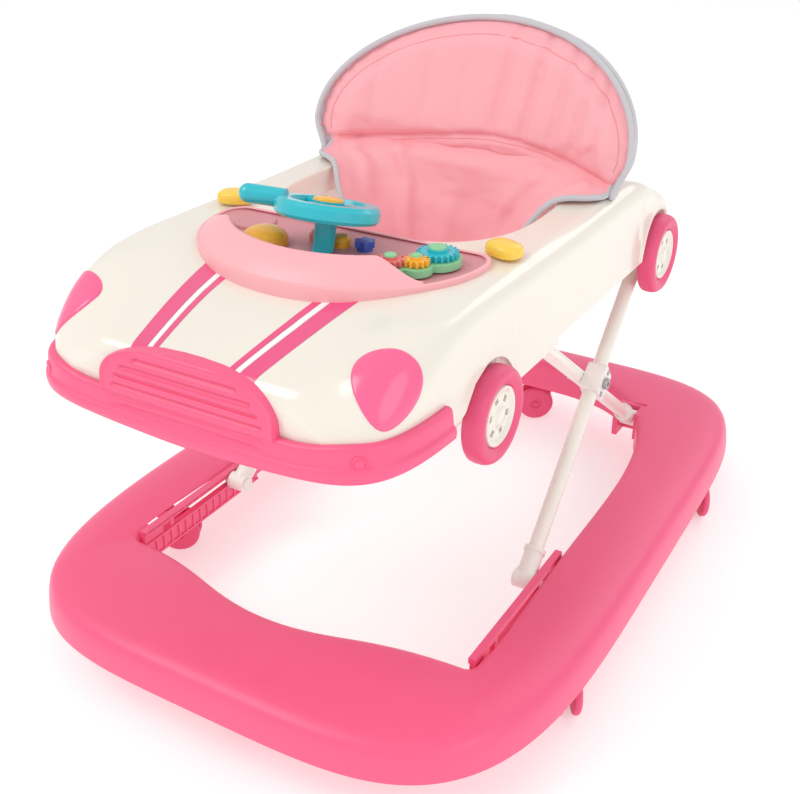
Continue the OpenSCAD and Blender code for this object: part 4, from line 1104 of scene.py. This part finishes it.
def backWidth(z):
    if z < seat["widest"]:
        return lerp(172, seat["half"], ramp(z / seat["widest"]))
    f = (z - seat["widest"]) / (seat["height"] - seat["widest"])
    return seat["half"] * math.sqrt(max(0.0, 1 - min(f, 1) ** 2.1))


def backPoint(u, v, depth, inset=0.0):
    z = v * (seat["height"] - inset)
    x = u * max(backWidth(min(z * seat["height"] / (seat["height"] - inset), seat["height"]))
                - inset, 6)
    y = seat["baseY"] + seat["lean"] * z - seat["wrap"] * (x / seat["half"]) ** 2 + depth
    return Vector((x, y, body["deck"] + z))


def simulate(obj, pressure, cap, free, frames=20):
    # inflates a closed cushion: no point moves further than cap millimetres, and points that
    # are sewn down (free near 0) hardly move
    remesh = obj.modifiers.new("remesh", "REMESH")
    remesh.mode = "VOXEL"
    remesh.voxel_size = seat["voxel"] * mm
    done = bpy.data.meshes.new_from_object(obj.evaluated_get(
        bpy.context.evaluated_depsgraph_get()))
    obj.modifiers.clear()
    obj.data = done
    start = [v.co.copy() for v in done.vertices]
    soft = obj.modifiers.new("cloth", "CLOTH")
    s = soft.settings
    s.quality = 5
    s.mass = 0.25
    s.tension_stiffness = s.compression_stiffness = 12
    s.shear_stiffness = 6
    s.bending_stiffness = 0.4
    s.use_pressure = True
    s.uniform_pressure_force = pressure
    s.effector_weights.gravity = 0
    soft.point_cache.frame_start = 1
    soft.point_cache.frame_end = frames
    for k in range(1, frames + 1):
        scene.frame_set(k)
    done = bpy.data.meshes.new_from_object(obj.evaluated_get(
        bpy.context.evaluated_depsgraph_get()))
    obj.modifiers.clear()
    obj.data = done
    scene.frame_set(1)
    for v, p in zip(done.vertices, start):
        move = v.co - p
        if move.length > cap * mm:
            move = move.normalized() * cap * mm
        v.co = p + move * free(p / mm)


def creaseDepth(x, z, creases):
    # sewn channels: how deep the surface is drawn in at x, z
    deep = 0.0
    for cx, top, low, slant, depth, wide in creases:
        if low < z < top:
            mid = cx + slant * (z - low)
            fade = min(1, (z - low) / 18, (top - z) / 18)
            deep += depth * fade * math.exp(-((x - mid) / wide) ** 2)
    return deep


backCreases = ((14, 150, 26, 0.10, 6.6, 4.6), (50, 152, 24, 0.12, 7.6, 4.6),
               (84, 142, 22, 0.14, 6.0, 5.4), (112, 130, 20, 0.12, 5.4, 5.4),
               (136, 116, 16, 0.08, 5.0, 5.2), (-24, 120, 26, 0.02, 2.6, 6.0),
               (-62, 140, 40, -0.05, 2.8, 7.0), (-118, 112, 30, -0.1, 3.2, 7.0))


def rimGap(x, h):
    # how far a point at x and h above the deck is inside the seat back's outline
    if h < seat["widest"]:
        return backWidth(max(h, 0)) - abs(x)
    a = seat["half"]
    b = seat["height"] - seat["widest"]
    far = ((abs(x) / a) ** 2 + ((h - seat["widest"]) / b) ** 2.1) ** 0.49
    return (1 - far) * (a * b) / math.hypot(b * abs(x) / a / max(far, 0.01),
                                            a * (h - seat["widest"]) / b / max(far, 0.01)) \
        if far > 0.02 else a


def rimDistance(p):
    # 0 where the pad is sewn at its rim, 1 well inside it
    return ramp(rimGap(p.x, p.z - body["deck"]) / 34)


def seamHeight(x):
    # height above the deck of the line where the pouch is sewn to the back
    return 20 + 11 * math.cos(x / 184 * math.pi * 0.9) + 3 * math.sin(x / 40)


def makeBackPad():
    us = [math.sin(math.pi / 2 * f) for f in spread(-1, 1, 61)]
    vs = [0.015, 0.06] + spread(0.12, 0.9, 22) + [0.94, 0.97, 0.99, 1.0]
    front = [[backPoint(u, v, 3.0, 0.5) for u in us] for v in vs]
    back = [[backPoint(u, v, seat["pad"] - 3.0, 0.5) for u in us] for v in vs]
    rows = [f + b[::-1] for f, b in zip(front, back)]
    points, faces = grid(rows, False, True)
    obj = pieceFrom("seatBackPad", points, capEnds(faces, len(rows), len(rows[0])), "cloth",
                    None, sharp=0)
    simulate(obj, seat["pressure"], seat["swell"], rimDistance)
    for v in obj.data.vertices:
        # the front edge rolls back into the piping
        gap = rimGap(v.co.x / mm, v.co.z / mm - body["deck"])
        if v.normal.y < 0.3:
            v.co.y += 6.0 * mm * (1 - ramp(gap / 16)) ** 2
    for v in obj.data.vertices:
        x, y, z = v.co / mm
        h = z - body["deck"]
        if v.normal.y < 0.2:
            pull = creaseDepth(x, h, backCreases)
            # the sewn line between the back and the pouch
            pull += 6.0 * math.exp(-((h - seamHeight(x)) / 4.4) ** 2)
            # quilting pull near the rim and puckers that fan out from it
            rim = max(0.0, 1 - (backWidth(h) - abs(x)) / 26) if h > 30 else 0
            pull += 2.4 * rim * (0.5 + 0.5 * math.sin(h * 0.33 + x * 0.21)) ** 2
            pull += 1.6 * noise.noise(Vector((x * 0.02, h * 0.028, 3.1)))
            v.co.y += pull * mm
    settle(obj, "cloth", "car_body", ("seat_back_pad",), 0, False)
    more = obj.modifiers.new("smooth", "SUBSURF")
    more.levels = more.render_levels = 1


def makeBackCover():
    # grey fabric cover over the board, rolled round the rim
    us = [math.sin(math.pi / 2 * f) for f in spread(-1, 1, 61)]
    vs = [0.0, 0.04] + spread(0.1, 0.9, 20) + [0.94, 0.97, 0.99, 1.0]
    deep = seat["pad"] + seat["board"]
    front = [[backPoint(u, v, 12.0, 0.0) for u in us] for v in vs]
    back = [[backPoint(u, v, deep + 2.0 - 7 * max(0, abs(u) - 0.8) / 0.2
                       - 6 * max(0, v - 0.85) / 0.15, 0.0)
             + Vector((0, 1.1 * noise.noise(Vector((u * 5, v * 4, 7))), 0)) for u in us]
            for v in vs]
    rows = [f + b[::-1] for f, b in zip(front, back)]
    points, faces = grid(rows, False, True)
    obj = pieceFrom("seatBackCover", points, capEnds(faces, len(rows), len(rows[0])),
                    "binding", "car_body", ("seat_back_board",), "white_plastic", 60)
    roll = obj.modifiers.new("roll", "BEVEL")
    roll.width = 3.0 * mm
    roll.segments = 3
    roll.angle_limit = math.radians(50)
    # piping along the rim
    rim = []
    for v in [1 - (1 - f) ** 2 for f in spread(0.0, 1, 46)]:
        rim.append(backPoint(1, v, 5.0, 1.0))
    path = rim + [Vector((-p.x, p.y, p.z)) for p in rim[-2::-1]]
    pipe = tube("seatPiping", path, 3.2, "binding", "car_body", 12, slotName="white_plastic")


# sections of the pouch, from the sewn line under the back to the front edge of the opening:
# distance back, height, half width, forward wrap of the sides, lift of the sides
pouchKeys = ((132, 446, 166, 36, -12), (122, 437, 166, 42, -10), (112, 424, 158, 54, 5),
             (109, 404, 129, 70, 23), (105, 382, 112, 84, 25), (98, 352, 96, 84, 26),
             (84, 318, 78, 62, 24), (58, 292, 64, 36, 18), (14, 284, 50, 10, 14),
             (-36, 319, 46, 0, 4), (-82, 378, 58, 0, 0), (-117, 417, 74, 0, 0))


def pouchKey(f):
    n = len(pouchKeys) - 1
    g = min(max(f, 0) * n, n - 1e-6)
    i = int(g)
    s = g - i
    a, b = pouchKeys[max(i - 1, 0)], pouchKeys[i]
    c, d = pouchKeys[i + 1], pouchKeys[min(i + 2, n)]
    return [0.5 * (2 * q + (r - p) * s + (2 * p - 5 * q + 4 * r - t) * s * s
                   + (3 * q - p - 3 * r + t) * s ** 3) for p, q, r, t in zip(a, b, c, d)]


def pouchPoint(f, u):
    y, z, half, wrap, lift = pouchKey(f)
    arc = math.pi / 2 * u
    return Vector((half * math.sin(arc) * (1 - 0.12 * (1 - abs(u)) * abs(u)),
                   y - wrap * (1 - math.cos(arc)), z + lift * u * u))


def makePouch():
    # sewn sling with a binding tape along its free edges
    n, m = 96, 73
    rows = []
    for i in range(n):
        f = i / (n - 1)
        row = []
        for j in range(m):
            u = -1 + 2 * j / (m - 1)
            p = pouchPoint(f, u)
            run = pouchPoint(min(f + 0.01, 1), u) - pouchPoint(max(f - 0.01, 0), u)
            across = pouchPoint(f, min(u + 0.02, 1)) - pouchPoint(f, max(u - 0.02, -1))
            out = run.cross(across).normalized()
            fade = min(1, (1 - abs(u)) / 0.12, f / 0.05, (1 - f) / 0.06)
            fold = 0.0
            for cu, depth, wide, start, stop in ((-0.42, 8.0, 0.04, 0.08, 0.55),
                                                 (0.30, 7.0, 0.045, 0.08, 0.46),
                                                 (-0.1, 3.6, 0.06, 0.1, 0.6),
                                                 (0.62, 6.5, 0.06, 0.08, 0.42),
                                                 (-0.72, 6.0, 0.06, 0.08, 0.42)):
                if start < f < stop:
                    t = min(1, (f - start) / 0.06, (stop - f) / 0.12)
                    fold += depth * t * math.exp(-((u - cu - 0.05 * math.sin(f * 9)) / wide) ** 2)
            fold += 4.0 * noise.noise(Vector((u * 3.0, f * 9.0, 1.7)))
            fold += 1.3 * noise.noise(Vector((u * 9.0, f * 22.0, 5.7)))
            row.append(p + out * fold * fade * 0.9)
        rows.append(row)
    points, faces = grid(rows)
    obj = pieceFrom("seatPouch", points, faces, "cloth", "car_body", ("seat_sling",),
                    "pink_cloth", 0, False)
    wall = obj.modifiers.new("padding", "SOLIDIFY")
    wall.thickness = 4.0 * mm
    wall.offset = 0
    more = obj.modifiers.new("smooth", "SUBSURF")
    more.levels = more.render_levels = 1
    for side, name in ((1, "Right"), (-1, "Left")):
        path = [pouchPoint(f, side) for f in spread(0.0, 1, 90)]
        tape = tube("pouchTape" + name, path, 3.0, "binding", "car_body", 10,
                    slotName="white_plastic")


# ---- rows of stitches and screw heads, set out by geometry nodes
stitch = {"Spacing": 4.2, "Length": 3.0, "Radius": 0.45}
screw = {"Radius": 3.1, "Height": 1.3}


def nodeGroup(name, fields):
    # a group with one geometry in, named numbers in, and one geometry out
    group = bpy.data.node_groups.new(name, "GeometryNodeTree")
    group.interface.new_socket("Geometry", in_out="INPUT", socket_type="NodeSocketGeometry")
    for key, value in fields.items():
        item = group.interface.new_socket(key, in_out="INPUT", socket_type="NodeSocketFloat")
        item.default_value = value
    group.interface.new_socket("Geometry", in_out="OUTPUT", socket_type="NodeSocketGeometry")

    def add(kind, settings=None, **inputs):
        n = group.nodes.new(kind)
        for key, v in (settings or {}).items():
            setattr(n, key, v)
        for key, v in inputs.items():
            socket = n.inputs[key.replace("_", " ")]
            if isinstance(v, bpy.types.NodeSocket):
                group.links.new(v, socket)
            else:
                socket.default_value = v
        return n

    return group, add, add("NodeGroupInput"), add("NodeGroupOutput")


def stitchGroup():
    group, add, source, sink = nodeGroup("stitchRow", stitch)
    curve = add("GeometryNodeMeshToCurve", Mesh=source.outputs["Geometry"])
    points = add("GeometryNodeResampleCurve", {"mode": "LENGTH"},
                 Curve=curve.outputs["Curve"], Length=source.outputs["Spacing"])
    thread = add("GeometryNodeMeshCylinder", Vertices=8, Radius=source.outputs["Radius"],
                 Depth=source.outputs["Length"])
    turn = add("FunctionNodeAlignRotationToVector", {"axis": "Z"},
               Vector=add("GeometryNodeInputTangent").outputs["Tangent"])
    placed = add("GeometryNodeInstanceOnPoints", Points=points.outputs["Curve"],
                 Instance=thread.outputs["Mesh"], Rotation=turn.outputs["Rotation"])
    real = add("GeometryNodeRealizeInstances", Geometry=placed.outputs["Instances"])
    done = add("GeometryNodeSetMaterial", Geometry=real.outputs["Geometry"],
               Material=finish["thread"])
    group.links.new(done.outputs["Geometry"], sink.inputs["Geometry"])
    return group


def screwGroup():
    # each point carries the direction its screw head faces
    group, add, source, sink = nodeGroup("screwHeads", screw)
    facing = add("GeometryNodeInputNamedAttribute", {"data_type": "FLOAT_VECTOR"}, Name="facing")
    head = add("GeometryNodeMeshCone", Vertices=24, Radius_Bottom=source.outputs["Radius"],
               Depth=source.outputs["Height"])
    head.inputs["Radius Top"].default_value = screw["Radius"] * 0.8 * mm
    turn = add("FunctionNodeAlignRotationToVector", {"axis": "Z"},
               Vector=facing.outputs["Attribute"])
    placed = add("GeometryNodeInstanceOnPoints", Points=source.outputs["Geometry"],
                 Instance=head.outputs["Mesh"], Rotation=turn.outputs["Rotation"])
    real = add("GeometryNodeRealizeInstances", Geometry=placed.outputs["Instances"])
    done = add("GeometryNodeSetMaterial", Geometry=real.outputs["Geometry"],
               Material=finish["steel"])
    group.links.new(done.outputs["Geometry"], sink.inputs["Geometry"])
    return group


def runGroup(obj, group, values):
    # runs the group once and keeps only the mesh it makes
    made = obj.modifiers.new(group.name, "NODES")
    made.node_group = group
    for item in group.interface.items_tree:
        if item.in_out == "INPUT" and item.name in values:
            made[item.identifier] = values[item.name] * mm
    done = bpy.data.meshes.new_from_object(obj.evaluated_get(
        bpy.context.evaluated_depsgraph_get()))
    obj.modifiers.clear()
    obj.data = done


def surfaceTree(obj):
    seen = obj.evaluated_get(bpy.context.evaluated_depsgraph_get())
    mesh = seen.to_mesh()
    tree = BVHTree.FromPolygons([v.co.copy() for v in mesh.vertices],
                                [tuple(p.vertices) for p in mesh.polygons])
    seen.to_mesh_clear()
    return tree


def sewRows(name, rows, material):
    points, edges = [], []
    for row in rows:
        edges += [(len(points) + k, len(points) + k + 1) for k in range(len(row) - 1)]
        points += row
    mesh = bpy.data.meshes.new(name)
    mesh.from_pydata(points, edges, [])
    obj = bpy.data.objects.new(name, mesh)
    scene.collection.objects.link(obj)
    runGroup(obj, stitchGroup(), stitch)
    settle(obj, material, "car_body", sharp=60, outward=False)


def makeStitches():
    pad = surfaceTree(bpy.data.objects["seatBackPad"])
    rows = []
    for drop in (-3.4, 3.4):
        row = []
        for x in spread(-158, 158, 160):
            z = body["deck"] + seamHeight(x) + drop
            hit, _, _, _ = pad.ray_cast(Vector((x, -60, z)) * mm, Vector((0, 1, 0)))
            if hit:
                row.append(hit - Vector((0, 0.2 * mm, 0)))
        rows.append(row)
    rim = []
    for v in spread(0.2, 0.995, 120):
        p = backPoint(1, v, 0.0, 15.0)
        rim.append((p.x, p.z))
    rim += [(-x, z) for x, z in rim[::-1]]
    row = []
    for x, z in rim:
        hit, _, _, _ = pad.ray_cast(Vector((x, -60, z)) * mm, Vector((0, 1, 0)))
        if hit:
            row.append(hit - Vector((0, 0.2 * mm, 0)))
    rows.append(row)
    sewRows("backStitches", rows, "thread")


def makeScrews():
    # heads on the scissor blocks and the steering wheel's badge
    places = {"outer_frame": [], "steering": []}
    low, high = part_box("scissor_blocks")
    middle = (low + high) / 2
    for side in (1, -1):
        edge = high.x if side > 0 else low.x
        for dy, dz in ((9, 9), (-9, -9)):
            places["outer_frame"].append((Vector((edge, middle.y + dy * mm, middle.z + dz * mm)),
                                          Vector((side, 0, 0))))
    lean = math.radians(tray["columnLean"])
    axis = Vector((0, math.sin(lean), math.cos(lean)))
    across = Vector((0, math.cos(lean), -math.sin(lean)))
    hub = Vector(tray["column"]) * mm + axis * 41.0 * mm
    for k in range(3):
        a = math.radians(30 + 120 * k)
        places["steering"].append((hub + (Vector((math.cos(a), 0, 0)) + across * math.sin(a))
                                   * 22 * mm, axis))
    for bodyName, spots in places.items():
        mesh = bpy.data.meshes.new(bodyName + "Screws")
        mesh.from_pydata([p for p, _ in spots], [], [])
        facing = mesh.attributes.new("facing", "FLOAT_VECTOR", "POINT")
        for k, (_, n) in enumerate(spots):
            facing.data[k].vector = n
        obj = bpy.data.objects.new(bodyName + "Screws", mesh)
        scene.collection.objects.link(obj)
        runGroup(obj, screwGroup(), screw)
        settle(obj, "steel", bodyName, sharp=40, outward=False)


makeBackPad()
makeBackCover()
makePouch()
print("seat made")
makeStitches()
makeScrews()
print("stitches and screws made")

# ---- floor
floorMesh = bpy.data.meshes.new("studioFloor")
floorMesh.from_pydata([(-30, -30, 0), (30, -30, 0), (30, 30, 0), (-30, 30, 0)], [],
                      [(0, 1, 2, 3)])
floor = bpy.data.objects.new("studioFloor", floorMesh)
scene.collection.objects.link(floor)
paper = Finish("paperFloor")
paper.set(Base_Color=(0.72, 0.72, 0.72, 1), Roughness=0.9,
          Emission_Color=(1.0, 1.0, 1.0, 1), Emission_Strength=studio["paper"])
floorMesh.materials.append(paper.material)
